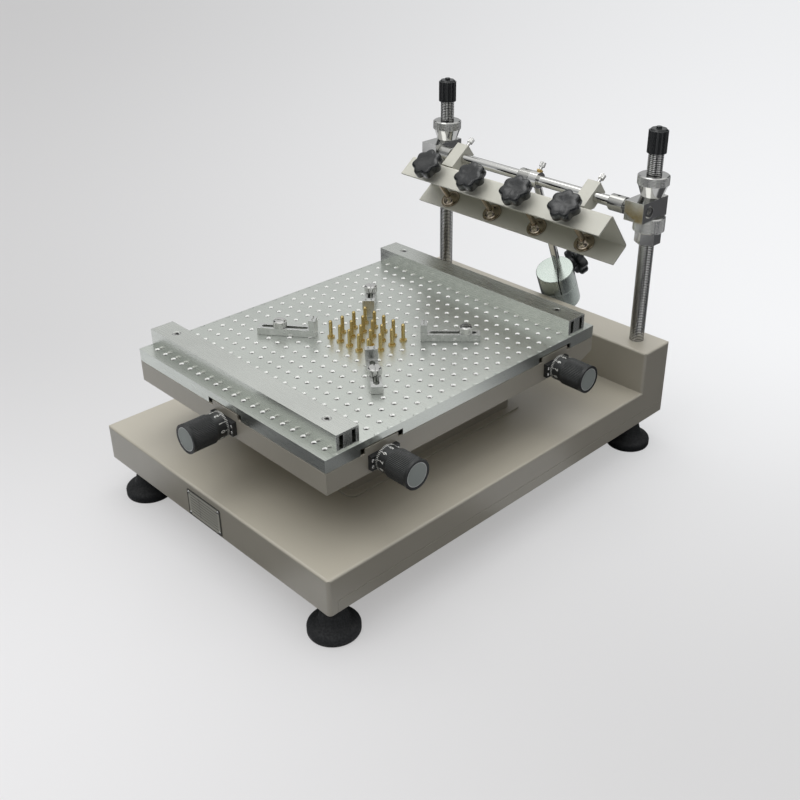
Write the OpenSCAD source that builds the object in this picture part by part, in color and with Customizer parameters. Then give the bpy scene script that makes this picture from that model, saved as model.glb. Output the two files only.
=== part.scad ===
// Bench screen printing press for solder paste: a perforated table with fine
// adjustment under a swinging stencil holder. Millimetres, +Z up.

/* [Base] */
// Width of the base across its sides
base_width = 371; // [350:1:400]
// Depth of the base from front to back
base_depth = 518; // [500:1:560]
// Height of the base's underside over the bench
base_clear = 38; // [32:0.5:50]
// Height of the front deck's skirt
deck_height = 39.6; // [34:0.2:50]
// Depth of the raised rear step
step_depth = 47.9; // [44:0.1:60]
// Rise of the rear step over the deck
step_height = 50.9; // [40:0.1:60]
// Thickness of the base's sheet metal
sheet = 2; // [1.5:0.1:3]
// Outer radius of the base's upright corners
corner_radius = 4; // [4:0.5:12]
// Outer radius of the base's bent top edges
bend_radius = 2.5; // [2.5:0.5:5]
// Height of the bottom pan's rim
pan_height = 12.8; // [8:0.2:18]

/* [Feet] */
// Diameter of a rubber foot at the bench
foot_diameter = 51; // [40:1:54]
// Height of a rubber foot
foot_height = 12.3; // [10:0.1:16]
// Diameter of a foot's stud
foot_stud = 10; // [8:1:12]
// Feet's distance from the right and front edges
foot_inset_near = 19.5; // [15:0.5:40]
// Feet's distance from the left and rear edges
foot_inset_far = 37.5; // [25:0.5:45]

/* [Table] */
// Width of the perforated table
table_width = 300; // [290:1:310]
// Depth of the perforated table
table_depth = 381; // [375:1:385]
// Thickness of the perforated table
table_thick = 13.5; // [12:0.1:16]
// Height of the table's top over the bench
table_top = 172.3; // [170:0.1:178]
// Distance of the table's centre in front of the base's centre
table_forward = 36.3; // [34:0.1:40]
// Diameter of the tooling holes
hole_diameter = 4.8; // [4:0.1:5.4]
// Hole pitch from left to right
pitch_x = 15; // [14:0.1:15.5]
// Hole pitch from front to back
pitch_y = 16.333; // [15.5:0.001:16.5]
// Number of hole columns
columns = 19; // [15:2:19]
// Number of hole rows
rows = 23; // [21:2:23]
// Distance of the hole field's centre behind the table's centre
field_back = 1.33; // [0:0.01:2]

/* [Board bars] */
// Width of a board bar
bar_width = 26.4; // [24:0.1:30]
// Height of a board bar
bar_height = 18.3; // [15:0.1:24]
// Length of a board bar
bar_length = 296; // [280:1:300]
// Distance of a bar from the table's edge
bar_inset = 15; // [12:0.5:18]
// Width of the two hollow cells in a bar
bar_cell = 4.8; // [4:0.1:6]
// Width of a bar's solid middle
bar_middle = 10; // [8:0.5:12]

/* [Tray] */
// Height of the tray's side walls
tray_height = 22.7; // [20:0.1:26]
// Gap between the tray and the table
tray_gap = 0.5; // [0.3:0.1:1]
// Length of the cut-outs over the knobs
notch_length = 52.5; // [48:0.5:58]
// Height of the cut-outs over the knobs
notch_height = 6.5; // [5.5:0.1:8]
// Depth of the cut-outs into the table
notch_depth = 12; // [11:0.5:16]
// Room for the table's travel at each end of a raised tab
tab_room = 6; // [5.6:0.1:8]
// Width of the pedestal under the tray
pedestal_width = 195; // [160:1:220]
// Depth of the pedestal under the tray
pedestal_depth = 235; // [200:1:260]

/* [Fine adjustment] */
// Diameter of a knurled grip
grip_diameter = 30; // [26:0.5:32]
// Length of a knurled grip
grip_length = 27; // [20:0.5:32]
// Diameter of a scale ring
ring_diameter = 27; // [24:0.5:28]
// Length of a scale ring
ring_length = 13.5; // [10:0.5:16]
// Length of a knob's flange plate
flange_length = 35; // [32:0.5:40]
// Height of a knob's flange plate
flange_height = 15; // [13:0.5:18]
// Thickness of a knob's flange plate
flange_thick = 5; // [3:0.5:6]
// Height of the knobs' axes under the table's top
knob_drop = 24.5; // [23.5:0.1:26]
// Front side knob's distance from the table's centre
side_knob_front = 123.7; // [110:0.1:130]
// Rear side knob's distance from the table's centre
side_knob_rear = 125.3; // [110:0.1:130]

/* [Board clamps] */
// Length of an L-shaped clamp
clamp_length = 63.5; // [62:0.5:66]
// Width of a clamp's arm
clamp_width = 12; // [11:0.5:14]
// Height of a clamp's arm
clamp_height = 8; // [7:0.5:10]
// Height of a clamp's upright end
clamp_upright = 19.5; // [16:0.5:24]
// Diameter of a clamp's thumb screw head
thumb_head = 14.5; // [13:0.5:17]
// Height of a locating pin over the table
pin_height = 19.5; // [15:0.5:24]
// Diameter of a locating pin
pin_diameter = 4; // [3:0.5:4]

/* [Posts] */
// Diameter of the threaded posts
post_diameter = 16.8; // [15:0.1:17.4]
// Distance of the posts from the base's sides
post_side = 31.1; // [29:0.1:33.5]
// Distance of the posts from the base's rear edge
post_inset = 22.8; // [20:0.1:25]
// Height of the posts over the step
post_length = 220.8; // [215:0.1:240]
// Height of the blocks' underside over the step
block_level = 151.3; // [150:0.1:153]
// Diameter of the knurled nuts
nut_diameter = 35; // [32:0.5:36]
// Height of a knurled support nut
support_nut = 17.2; // [14:0.1:18]
// Width across the flats of a lock nut
lock_nut = 25; // [24:0.5:25]
// Height of a lock nut
lock_height = 13.8; // [12:0.1:14]

/* [Swing head] */
// Diameter of the cross rod
rod_diameter = 12; // [10:0.5:13]
// Distance of the cross rod in front of the posts
rod_forward = 20.5; // [19:0.1:22]
// Length of the stencil holder
holder_length = 306; // [290:1:310]
// Distance the holder sits left of the middle
holder_left = 18; // [12:1:19]
// Height of the stencil holder
holder_height = 54.5; // [50:0.5:56]
// Depth of the stencil holder
holder_depth = 28.6; // [27:0.1:32]
// Rest tilt of the stencil holder
holder_tilt = 37; // [36:0.5:38]
// Diameter of a clamp foot
press_foot = 25; // [20:0.5:26]
// Diameter of a clamp spindle
spindle = 7; // [6:0.5:8]
// Distance between the clamp spindles
spindle_pitch = 70.5; // [66:0.5:74]
// Diameter over the lobes of a star knob
star_diameter = 39; // [34:0.5:39]
// Number of a star knob's lobes
star_lobes = 7; // [5:1:8]

/* [Counterweight] */
// Diameter of the hanging rod
hanger_diameter = 9.5; // [8:0.5:10]
// Distance from the cross rod to the weight
hanger_length = 141; // [120:1:142]
// Angle at which the weight leans on the step
hanger_angle = 25.3; // [25.3:0.1:30]
// Diameter of the weight
weight_diameter = 47.4; // [40:0.2:47.4]
// Height of the weight's upper disc
weight_upper = 25; // [22:0.5:28]
// Height of the weight's lower disc
weight_lower = 29; // [20:0.5:29]

/* [Hidden] */
$fn = 48;

run_fit = 0.08;        // radial clearance of a turning or sliding fit
seat_gap = 0.3;        // gap between bodies that rest on each other
slip = 0.5;            // side clearance of a clamp's slot
steel_grey = [0.62, 0.63, 0.65];
chrome_grey = [0.8, 0.81, 0.83];
beige = [0.74, 0.71, 0.62];
black = [0.1, 0.1, 0.11];
brass = [0.78, 0.63, 0.33];
alloy = [0.78, 0.79, 0.8];

deck_top = base_clear + deck_height;
step_top = deck_top + step_height;
base_rear = base_depth/2;
base_side = base_width/2;
pan_seam = 0.3;
apron_return = 10;
foot_nut = 6;

table_y = -table_forward;
table_under = table_top - table_thick;
tray_top = table_under - tray_gap;
tray_floor = tray_top - tray_height;
table_front = table_y - table_depth/2;
table_back = table_y + table_depth/2;
table_side = table_width/2;
bar_front_y = table_front + bar_inset + bar_width/2;
bar_rear_y = table_back - bar_inset - bar_width/2;
tab_top = table_under + notch_height - 1.6;
tab_length = notch_length - 2*tab_room;
knob_z = table_top - knob_drop;
knob_shaft = 4;
knob_reach = flange_thick + seat_gap + ring_length + grip_length;
tray_bevel = [17, 6.6];
saddle_size = [pedestal_width - 35, pedestal_depth - 15];
slide_height = (tray_height - sheet - 3*seat_gap + tray_gap)/2;
hole_shank = hole_diameter/2 - 0.05;
inside_knurl = 0.2;                    // a chamfer's edge lies this far inside the knurl's roots
nut_knurl = 0.6;
cap_knurl = 0.8;
grip_knurl = 0.4;
head_knurl = 0.5;
screw_knurl = 0.4;
nut_root = nut_diameter - 2*nut_knurl - 2*inside_knurl;
slot_start = 9.3;                      // clamp's slot from the upright's end
slot_run = 50;
upright_run = 7;
bar_screw = 4;

// name, column, row, direction and screw's distance from the upright's end
clamp_seats = [["right", 5, 4, 45, 48], ["left", -5, -4, 217.5, 39.7],
    ["front", 5, -4, -36.8, 37.4], ["rear", -5, 4, 135, 51.7]];

post_x = base_side - post_side;
post_y = base_rear - post_inset;
post_top = step_top + post_length;
block_z = step_top + block_level;
block_height = 22;
block_width = 24;
block_rear = 13.5;
block_front = 32.2;
rod_y = post_y - rod_forward;
rod_z = block_z + block_height/2;
block_inner = post_x - block_width/2;
cap_diameter = 21.3;
cap_height = 26;
lock_cone = 13.2;
lock_knurl = 10.3;
collar_spans = [[-block_inner + 0.2, 18], [-13, 16.5], [block_inner - 25.4, 20]];
collar_diameter = rod_diameter + 6.6;
collar_edge = 0.6;
end_recess = 14;

strip_rise = 8.25;                     // flange's upper face over the rod's axis
web_back = -20.9;                      // web's rear face from the rod's axis
flange_front = web_back - holder_depth;
flange_under = strip_rise - holder_height;
holder_x = -holder_left;
spindle_y = web_back - sheet - press_foot/2 - 0.5;
first_spindle = holder_x - 107;
foot_rise = 8.5;
foot_socket = 3.4;                     // floor of a press foot's socket over its face
spindle_low = flange_under + sheet + 2*seat_gap + foot_socket;
star_low = strip_rise + 6.5;
star_height = 16.5;
arm_width = 17.5;
arm_centres = [-block_inner + collar_spans[0][1] + arm_width/2 + 2, block_inner - 55.4];
arm_low = -9.5;                        // lower edge of an arm's cheeks
arm_rear = 14.5;
arm_head = 3.5;

hub_x = 9.6;
hub_width = 11.6;
hub_radius = 9.5;
weight_shift = -6.5;                   // weight's middle from the hanging rod
hanger_lean = 2.8;
weight_radius = weight_diameter/2;
hub_screw_turn = 60;
slit_turn = -51;
knob_turn = 76;
knob_level = 12;
knob_screw = 3;
knob_seat = 19.5;                      // hand knob's face from the hanging rod's axis

// The frame's origin lies under the middle of the whole part's box
rearmost = 319.27;                     // edge of the weight's hand knob
box_mid = [(table_side + knob_reach - base_side)/2, (rearmost + table_front - knob_reach)/2];

function hole_x(i) = (i - (columns - 1)/2)*pitch_x;
function hole_y(j) = table_y + field_back + (j - (rows - 1)/2)*pitch_y;

pivot_y = hole_y((rows - 1)/2 - 4);
pivot_radius = 8;

module place() translate([-box_mid[0], -box_mid[1], 0]) children();

// Rounded rectangle about its centre
module round_rect(w, d, r) {
    square([w - 2*r, d], center = true);
    square([w, d - 2*r], center = true);
    for (sx = [-1, 1], sy = [-1, 1])
        translate([sx*(w/2 - r), sy*(d/2 - r)]) circle(r);
}

// Outline with ribs or knurls all round
module knurl(r, depth, count) {
    polygon([for (i = [0:2*count - 1]) let (a = 180*i/count, q = i%2 == 0 ? r : r - depth)
        [q*cos(a), q*sin(a)]]);
}

// Lobed outline of a hand knob, with a hollow between each two lobes
module star_outline(r) {
    hollow = 0.2*r;
    difference() {
        circle(r);
        for (k = [0:star_lobes - 1]) rotate((k + 0.5)*360/star_lobes) translate([1.06*r, 0]) circle(hollow);
    }
}

// Hand knob standing on z = 0
module star_knob(r, h) {
    cylinder(r = 0.42*r, h = 0.3*h);
    translate([0, 0, 0.3*h]) linear_extrude(0.12*h) star_outline(r - 1.2);
    translate([0, 0, 0.42*h]) linear_extrude(0.43*h) star_outline(r);
    translate([0, 0, 0.85*h]) linear_extrude(0.1*h) star_outline(r - 1.2);
    translate([0, 0, 0.95*h]) cylinder(r = 0.5*r, h = 0.05*h);
}

module hex_outline(flats) circle(r = flats/sqrt(3), $fn = 6);

// Upright-cornered body with rounded top edges, on z = 0
module soft_box(w, d, h, r, rt) {
    intersection() {
        linear_extrude(h) round_rect(w, d, r);
        translate([0, d/2, 0]) rotate([90, 0, 0]) linear_extrude(d) soft_face(w, h, rt);
        translate([-w/2, 0, 0]) rotate([90, 0, 90]) linear_extrude(w) soft_face(d, h, rt);
    }
}

module soft_face(w, h, r) {
    translate([-w/2, 0]) square([w, h - r]);
    translate([-w/2 + r, 0]) square([w - 2*r, h]);
    for (s = [-1, 1]) translate([s*(w/2 - r), h - r]) circle(r);
}

module base_form(inset, low) {
    w = base_width - 2*inset;
    r = corner_radius - inset;
    rt = bend_radius - inset;
    translate([0, 0, low]) soft_box(w, base_depth - 2*inset, deck_top - low - inset, r, rt);
    translate([0, base_rear - step_depth/2, low])
        soft_box(w, step_depth - 2*inset, step_top - low - inset, r, rt);
}

// The case comes down over the pan's front, with a short return on each side
module base_case() color(beige) place() difference() {
    base_form(0, base_clear);
    base_form(sheet, base_clear - 1);
    translate([-base_width, -base_rear + apron_return, base_clear - 1])
        cube([2*base_width, base_depth, pan_height + pan_seam + 1]);
    for (s = [-1, 1]) translate([s*post_x, post_y, step_top - 3*sheet])
        cylinder(d = post_diameter, h = 5*sheet);
}

module bottom_pan() color(beige) place() translate([0, 0, base_clear]) difference() {
    linear_extrude(pan_height) pan_outline(0);
    translate([0, 0, sheet]) linear_extrude(pan_height) pan_outline(sheet);
    foot_places() cylinder(r = foot_stud/2 + run_fit, h = 3*sheet, center = true);
}

// The pan's outline, stepped in behind the case's front
module pan_outline(inset) {
    front = -base_rear + apron_return + pan_seam + inset;
    tongue = -base_rear + sheet + pan_seam + inset;
    side = base_side - sheet - pan_seam - inset;
    intersection() {
        round_rect(base_width - 2*inset, base_depth - 2*inset, corner_radius - inset);
        translate([-base_side, front]) square([base_width, base_depth]);
    }
    translate([-side, tongue]) square([2*side, apron_return + 2*sheet]);
}

module foot_places() for (x = [-base_side + foot_inset_far, base_side - foot_inset_near],
    y = [-base_rear + foot_inset_near, base_rear - foot_inset_far]) translate([x, y, 0]) children();

module feet() color(black) place() foot_places() difference() {
    union() {
        cylinder(d = foot_diameter - 3, h = 1);
        translate([0, 0, 0.5]) cylinder(d = foot_diameter, h = 0.62*foot_height);
        translate([0, 0, 0.62*foot_height + 0.5])
            cylinder(d1 = foot_diameter, d2 = foot_diameter - 6, h = 0.38*foot_height - 0.5);
        translate([0, 0, foot_height - 1]) cylinder(d1 = 3.2*foot_stud, d2 = 2*foot_stud,
            h = base_clear - foot_nut - seat_gap - foot_height + 1);
    }
    translate([0, 0, 3]) cylinder(r = foot_stud/2 + run_fit, h = base_clear);
}

module foot_studs() color(steel_grey) place() foot_places() {
    translate([0, 0, 3]) cylinder(d = foot_stud, h = base_clear + sheet + 8 - 3);
    translate([0, 0, base_clear - foot_nut]) linear_extrude(foot_nut) difference() {
        hex_outline(1.6*foot_stud);
        circle(d = foot_stud - 1);
    }
    translate([0, 0, base_clear + sheet]) linear_extrude(foot_nut) hex_outline(1.6*foot_stud);
}

module post_places() for (s = [-1, 1]) translate([s*post_x, post_y, 0]) children();

module posts() color(steel_grey) place() post_places()
    translate([0, 0, step_top - 18]) cylinder(d = post_diameter, h = post_length + 18 + 0.6*cap_height);

module post_nuts() color(steel_grey) place() post_places()
    translate([0, 0, step_top - sheet - 12]) linear_extrude(12) difference() {
        hex_outline(lock_nut);
        circle(d = post_diameter);
    }

module post_caps() color(black) place() post_places() translate([0, 0, post_top]) difference() {
    union() {
        linear_extrude(cap_height - 2) knurl(cap_diameter/2, cap_knurl, 24);
        translate([0, 0, cap_height - 2])
            cylinder(r1 = cap_diameter/2 - cap_knurl - inside_knurl, r2 = cap_diameter/2 - 2.5, h = 2);
        translate([0, 0, cap_height]) cylinder(d = 6, h = 2);
    }
    translate([0, 0, -1]) cylinder(d = post_diameter, h = 0.6*cap_height + 1);
}

// Hollow pedestal, standing on the deck with a small foot flange
module pedestal() color(beige) place() translate([0, table_y, deck_top]) difference() {
    union() {
        linear_extrude(tray_floor - deck_top) round_rect(pedestal_width, pedestal_depth, 6);
        linear_extrude(sheet) round_rect(pedestal_width + 18, pedestal_depth + 18, 8);
    }
    translate([0, 0, -1]) linear_extrude(tray_floor - deck_top - sheet + 1)
        round_rect(pedestal_width - 2*sheet, pedestal_depth - 2*sheet, 4);
}

// Children are drawn at each knob with +Z along the knob's axis, outwards
module knob_frame(which) {
    if (which == "front") translate([0, table_front, knob_z]) rotate([90, 0, 0]) children();
    if (which == "side_front") translate([table_side, table_y - side_knob_front, knob_z])
        rotate([90, 0, 90]) children();
    if (which == "side_rear") translate([table_side, table_y + side_knob_rear, knob_z])
        rotate([90, 0, 90]) children();
}

module all_knobs() for (k = ["front", "side_front", "side_rear"]) knob_frame(k) children();

module tray() color(beige) place() difference() {
    union() {
        difference() {
            translate([0, table_y, tray_floor]) tray_blank(0);
            translate([0, table_y, tray_floor + sheet]) tray_blank(sheet);
        }
        all_knobs() translate([-tab_length/2, tray_floor - knob_z + sheet, -sheet])
            cube([tab_length, tab_top - tray_floor - sheet, sheet]);
    }
    all_knobs() translate([0, 0, -10]) cylinder(r = knob_shaft + run_fit, h = 20);
    for (sx = [-1, 1], sy = [-1, 1]) translate([sx*60, table_y + sy*80, tray_floor - 1])
        cylinder(d = 6, h = 3*sheet);
}

// Open tray, folded up with a bevel along its rear lower edge
module tray_blank(inset) {
    w = table_width - 2*inset;
    d = table_depth - 2*inset;
    translate([w/2, 0, 0]) rotate([90, 0, -90]) linear_extrude(w) polygon([
        [-d/2 + tray_bevel[0], 0], [d/2, 0], [d/2, tray_height + inset],
        [-d/2, tray_height + inset], [-d/2, tray_bevel[1]]]);
}

module knob_flanges() color(black) place() all_knobs() difference() {
    translate([-flange_length/2, -flange_height/2, 0]) cube([flange_length, flange_height, flange_thick]);
    translate([0, 0, -1]) cylinder(r = knob_shaft + run_fit, h = flange_thick + 2);
    flange_screw_places() cylinder(r = 1.5, h = 10, center = true);
}

module flange_screw_places() for (sx = [-1, 1], sy = [-1, 1])
    translate([sx*(flange_length/2 - 1.9), sy*3.2, flange_thick]) children();

module flange_screws() color(chrome_grey) place() all_knobs() flange_screw_places() {
    translate([0, 0, -flange_thick]) cylinder(r = 1.5, h = flange_thick);
    intersection() {
        translate([0, 0, -1.4]) sphere(r = 2.3);
        translate([-3, -3, 0]) cube([6, 6, 2]);
    }
}

module adjust_knob(which) color(black) place() knob_frame(which) {
    translate([0, 0, -9]) cylinder(r = knob_shaft, h = 9 + flange_thick + seat_gap);
    translate([0, 0, flange_thick + seat_gap]) cylinder(d = ring_diameter, h = ring_length);
    translate([0, 0, flange_thick + seat_gap + ring_length]) {
        linear_extrude(grip_length - 3) knurl(grip_diameter/2 - inside_knurl, grip_knurl, 60);
        translate([0, 0, grip_length - 3]) difference() {
            cylinder(d = grip_diameter, h = 3);
            translate([0, 0, 2]) cylinder(d = grip_diameter - 5.4, h = 2);
        }
    }
}

module knob_face(which) color(alloy) place() knob_frame(which)
    translate([0, 0, flange_thick + seat_gap + ring_length + grip_length - 1])
        cylinder(d = grip_diameter - 5.6, h = 0.7);

module knob_front() adjust_knob("front");
module knob_side_front() adjust_knob("side_front");
module knob_side_rear() adjust_knob("side_rear");
module knob_front_face() knob_face("front");
module knob_side_front_face() knob_face("side_front");
module knob_side_rear_face() knob_face("side_rear");

// Two hidden slides carry the table in the tray; it turns on the upper one's round pivot
module saddle() color(steel_grey) place()
    translate([-saddle_size[0]/2, table_y - saddle_size[1]/2, tray_floor + sheet + seat_gap]) difference() {
        cube([saddle_size[0], saddle_size[1], slide_height]);
        for (x = [30, saddle_size[0] - 44]) translate([x, -1, slide_height - 4])
            cube([14, saddle_size[1] + 2, 5]);
    }

module cross_slide() color(steel_grey) place()
    translate([0, table_y, tray_floor + sheet + 2*seat_gap + slide_height]) {
        translate([10 - saddle_size[0]/2, 10 - saddle_size[1]/2, 0])
            cube([saddle_size[0] - 20, saddle_size[1] - 20, slide_height]);
        translate([0, pivot_y - table_y, 0]) cylinder(r = pivot_radius, h = slide_height + 3);
    }

// The feature that takes most skill: the whole field of tooling holes, over the slides
module perforated_table() color(alloy) place() difference() {
    translate([-table_side, table_front, table_under]) cube([table_width, table_depth, table_thick]);
    for (i = [0:columns - 1], j = [0:rows - 1]) translate([hole_x(i), hole_y(j), table_under - 1])
        cylinder(d = hole_diameter, h = table_thick + 2);
    all_knobs() translate([-notch_length/2, table_under - knob_z - 1, -notch_depth])
        cube([notch_length, notch_height + 1, notch_depth + 1]);
    translate([0, pivot_y, table_under - 1]) cylinder(r = pivot_radius + run_fit, h = 1 + 3 + seat_gap);
}

module board_bar(y) color(alloy) place() translate([0, y, table_top]) difference() {
    translate([-bar_length/2, 0, 0]) rotate([90, 0, 90]) linear_extrude(bar_length) difference() {
        translate([-bar_width/2, 0]) square([bar_width, bar_height]);
        for (s = [-1, 1]) translate([s*(bar_middle + bar_cell)/2 - bar_cell/2, 2.2])
            square([bar_cell, bar_height - 4.4]);
    }
    for (s = [-1, 1]) translate([s*8*pitch_x, 0, 0]) {
        translate([0, 0, -1]) cylinder(d = bar_screw, h = bar_height + 2);
        translate([0, 0, bar_height - 2.5]) cylinder(d1 = bar_screw, d2 = 9.5, h = 2.75);
    }
}

module bar_front() board_bar(bar_front_y);
module bar_rear() board_bar(bar_rear_y);

module bar_screws() color(chrome_grey) place() for (s = [-1, 1], y = [bar_front_y, bar_rear_y])
    translate([s*8*pitch_x, y, table_top]) difference() {
        union() {
            cylinder(d = bar_screw, h = bar_height - 2.5);
            translate([0, 0, bar_height - 2.5]) cylinder(d1 = bar_screw, d2 = 8.6, h = 2.3);
        }
        translate([-6, -0.6, bar_height - 1.2]) cube([12, 1.2, 2]);
    }

module locating_pins() color(brass) place() for (i = [0:4], j = [0:3])
    translate([hole_x((columns - 1)/2 - 2 + i), hole_y((rows - 1)/2 - 2 + j), table_top]) {
        translate([0, 0, -8]) cylinder(r = hole_shank, h = 8);
        cylinder(d = 8, h = 1.5);
        cylinder(d = pin_diameter, h = pin_height - 1);
        translate([0, 0, pin_height - 1]) cylinder(d1 = pin_diameter, d2 = pin_diameter - 1.5, h = 1);
    }

// L-shaped board clamps, slotted so that they slide under their thumb screws
module clamp_frame(k) translate([hole_x((columns - 1)/2 + clamp_seats[k][1]),
    hole_y((rows - 1)/2 + clamp_seats[k][2]), table_top]) rotate(clamp_seats[k][3]) children();

module board_clamp(k) color(alloy) place() clamp_frame(k)
    translate([-clamp_seats[k][4], -clamp_width/2, seat_gap]) {
        difference() {
            cube([clamp_length, clamp_width, clamp_height]);
            translate([slot_start, clamp_width/2, -1]) linear_extrude(clamp_height + 2)
                clamp_slot(hole_shank + slip);
        }
        translate([0, -0.6, clamp_height])
            cube([upright_run, clamp_width + 1.2, clamp_upright - clamp_height]);
        for (y = [3, clamp_width - 3]) translate([upright_run/2, y, clamp_upright]) cylinder(d = 1.6, h = 2);
    }

module clamp_slot(r) {
    translate([r, 0]) circle(r);
    translate([r, -r]) square([slot_run - 2*r, 2*r]);
    translate([slot_run - r, 0]) circle(r);
}

module clamp_screw(k) color(steel_grey) place() clamp_frame(k) {
    translate([0, 0, -9]) cylinder(r = hole_shank, h = 9 + 2*seat_gap + clamp_height);
    translate([0, 0, clamp_height + 2*seat_gap]) difference() {
        union() {
            linear_extrude(6.5) knurl(thumb_head/2, head_knurl, 30);
            translate([0, 0, 6.5])
                cylinder(r1 = thumb_head/2 - head_knurl - inside_knurl, r2 = thumb_head/2 - 1.5, h = 1.2);
        }
        translate([-thumb_head, -0.8, 5.7]) cube([2*thumb_head, 1.6, 3]);
    }
}

module clamp_right() board_clamp(0);
module clamp_left() board_clamp(1);
module clamp_front() board_clamp(2);
module clamp_rear() board_clamp(3);
module clamp_screw_right() clamp_screw(0);
module clamp_screw_left() clamp_screw(1);
module clamp_screw_front() clamp_screw(2);
module clamp_screw_rear() clamp_screw(3);

// Carriage on the posts: rod, blocks and collars
module cross_rod() color(chrome_grey) place() translate([-post_x, rod_y, rod_z])
    rotate([0, 90, 0]) cylinder(d = rod_diameter, h = 2*post_x);

module end_blocks() color(chrome_grey) place() for (s = [-1, 1]) difference() {
    translate([s*post_x - block_width/2, post_y - block_front, block_z])
        cube([block_width, block_front + block_rear, block_height]);
    translate([s*post_x, post_y, block_z - 1]) cylinder(r = post_diameter/2 + run_fit, h = block_height + 2);
    translate([s*(post_x - block_width/2 - 1), rod_y, rod_z]) rotate([0, s*90, 0])
        cylinder(d = rod_diameter, h = block_width/2 + 1);
    translate([s*post_x, rod_y, rod_z]) rotate([0, s*90, 0]) cylinder(d = 6, h = block_width);
    translate([s*(post_x + block_width/2 - 4), rod_y, rod_z]) rotate([0, s*90, 0])
        cylinder(d = end_recess, h = 5);
}

module rod_end_screws() color(steel_grey) place() for (s = [-1, 1])
    translate([s*post_x, rod_y, rod_z]) rotate([0, s*90, 0]) {
        cylinder(d = 6, h = block_width/2 - 4);
        translate([0, 0, block_width/2 - 4]) difference() {
            cylinder(d = 10.5, h = 3.6);
            translate([0, 0, 1.6]) linear_extrude(3) hex_outline(5);
        }
    }

module rod_collars() color(steel_grey) place() for (c = collar_spans)
    translate([c[0], rod_y, rod_z]) rotate([0, 90, 0]) difference() {
        union() {
            translate([0, 0, collar_edge]) cylinder(d = collar_diameter, h = c[1] - 2*collar_edge);
            cylinder(d1 = collar_diameter - 2*collar_edge, d2 = collar_diameter, h = collar_edge);
            translate([0, 0, c[1] - collar_edge])
                cylinder(d1 = collar_diameter, d2 = collar_diameter - 2*collar_edge, h = collar_edge);
        }
        translate([0, 0, -1]) cylinder(d = rod_diameter, h = c[1] + 2);
        translate([-12, 0, c[1]/2]) rotate([0, 90, 0]) cylinder(d = 4, h = 12);
    }

module adjuster(s) color(steel_grey) place() translate([s*post_x, post_y, block_z - seat_gap])
    difference() {
        union() {
            translate([0, 0, -1]) cylinder(d1 = nut_root, d2 = nut_root - 1.6, h = 1);
            translate([0, 0, 1 - support_nut]) linear_extrude(support_nut - 2)
                knurl(nut_diameter/2, nut_knurl, 54);
            translate([0, 0, -support_nut]) cylinder(d1 = nut_root - 1.6, d2 = nut_root, h = 1);
            translate([0, 0, -support_nut - lock_height]) rotate(30) linear_extrude(lock_height)
                hex_outline(lock_nut);
        }
        translate([0, 0, -support_nut - lock_height - 1])
            cylinder(r = post_diameter/2 + run_fit, h = support_nut + lock_height + 2);
    }

module adjuster_left() adjuster(-1);
module adjuster_right() adjuster(1);

module lock(s) color(steel_grey) place()
    translate([s*post_x, post_y, block_z + block_height + seat_gap]) difference() {
        union() {
            cylinder(d1 = 24, d2 = nut_root, h = lock_cone);
            translate([0, 0, lock_cone]) linear_extrude(lock_knurl - 1)
                knurl(nut_diameter/2, nut_knurl, 54);
            translate([0, 0, lock_cone + lock_knurl - 1])
                cylinder(d1 = nut_root, d2 = nut_root - 1.6, h = 1);
        }
        translate([0, 0, -1]) cylinder(r = post_diameter/2 + run_fit, h = lock_cone + lock_knurl + 2);
    }

module lock_left() lock(-1);
module lock_right() lock(1);

// Frame of the swinging stencil holder, tilted about the cross rod
module head_frame() translate([0, rod_y, rod_z]) rotate([holder_tilt, 0, 0]) children();

// Solid behind the holder's open front, bent at its two rear corners
module holder_solid(length, height, r) {
    translate([-length, 0]) square([length - r, height]);
    translate([-r, r]) square([r, height - 2*r]);
    for (y = [r, height - r]) translate([-r, y]) circle(r);
}

module stencil_holder() color(beige) place() head_frame() difference() {
    translate([holder_x - holder_length/2, web_back, flange_under]) rotate([90, 0, 90])
        linear_extrude(holder_length) difference() {
            holder_solid(holder_depth, holder_height, 3);
            translate([-sheet, sheet]) holder_solid(holder_depth, holder_height - 2*sheet, 1);
        }
    spindle_places() translate([0, 0, strip_rise - 2*sheet]) cylinder(r = spindle/2 + run_fit, h = 3*sheet);
}

module spindle_places() for (k = [0:3]) spindle_place(k) children();

module spindle_place(k) translate([first_spindle + k*spindle_pitch, spindle_y, 0]) children();

module hanger_arms() color(beige) place() head_frame() for (x = arm_centres) difference() {
    union() {
        translate([x - arm_width/2, web_back, strip_rise - sheet])
            cube([arm_width, arm_rear - web_back, sheet]);
        for (s = [-1, 1]) translate([x + s*(arm_width - sheet)/2 - sheet/2, 0, 0]) rotate([90, 0, 90])
            linear_extrude(sheet) polygon([[web_back, strip_rise - sheet], [web_back, -1],
                [arm_low + 0.5, arm_low], [arm_rear, arm_low], [arm_rear, strip_rise - sheet]]);
        translate([x - arm_width/2 + sheet, arm_rear - sheet, arm_low + 3.5])
            cube([arm_width - 2*sheet, sheet, strip_rise - sheet - arm_low - 3.5]);
    }
    translate([x - arm_width, 0, 0]) rotate([0, 90, 0])
        cylinder(r = rod_diameter/2 + run_fit, h = 2*arm_width);
    translate([x, 0, 0]) rotate([-90, 0, 0]) cylinder(r = 2 + run_fit, h = arm_rear + 2);
}

module arm_screw(k) color(chrome_grey) place() head_frame()
    translate([arm_centres[k], rod_diameter/2 + seat_gap, 0]) rotate([-90, 0, 0]) {
        cylinder(r = 2, h = 17);
        translate([0, 0, 17]) linear_extrude(6) knurl(arm_head, screw_knurl, 20);
        translate([0, 0, 23])
            cylinder(r1 = arm_head - screw_knurl - inside_knurl, r2 = arm_head - 1.4, h = 0.8);
    }

module arm_screw_left() arm_screw(0);
module arm_screw_right() arm_screw(1);

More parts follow.
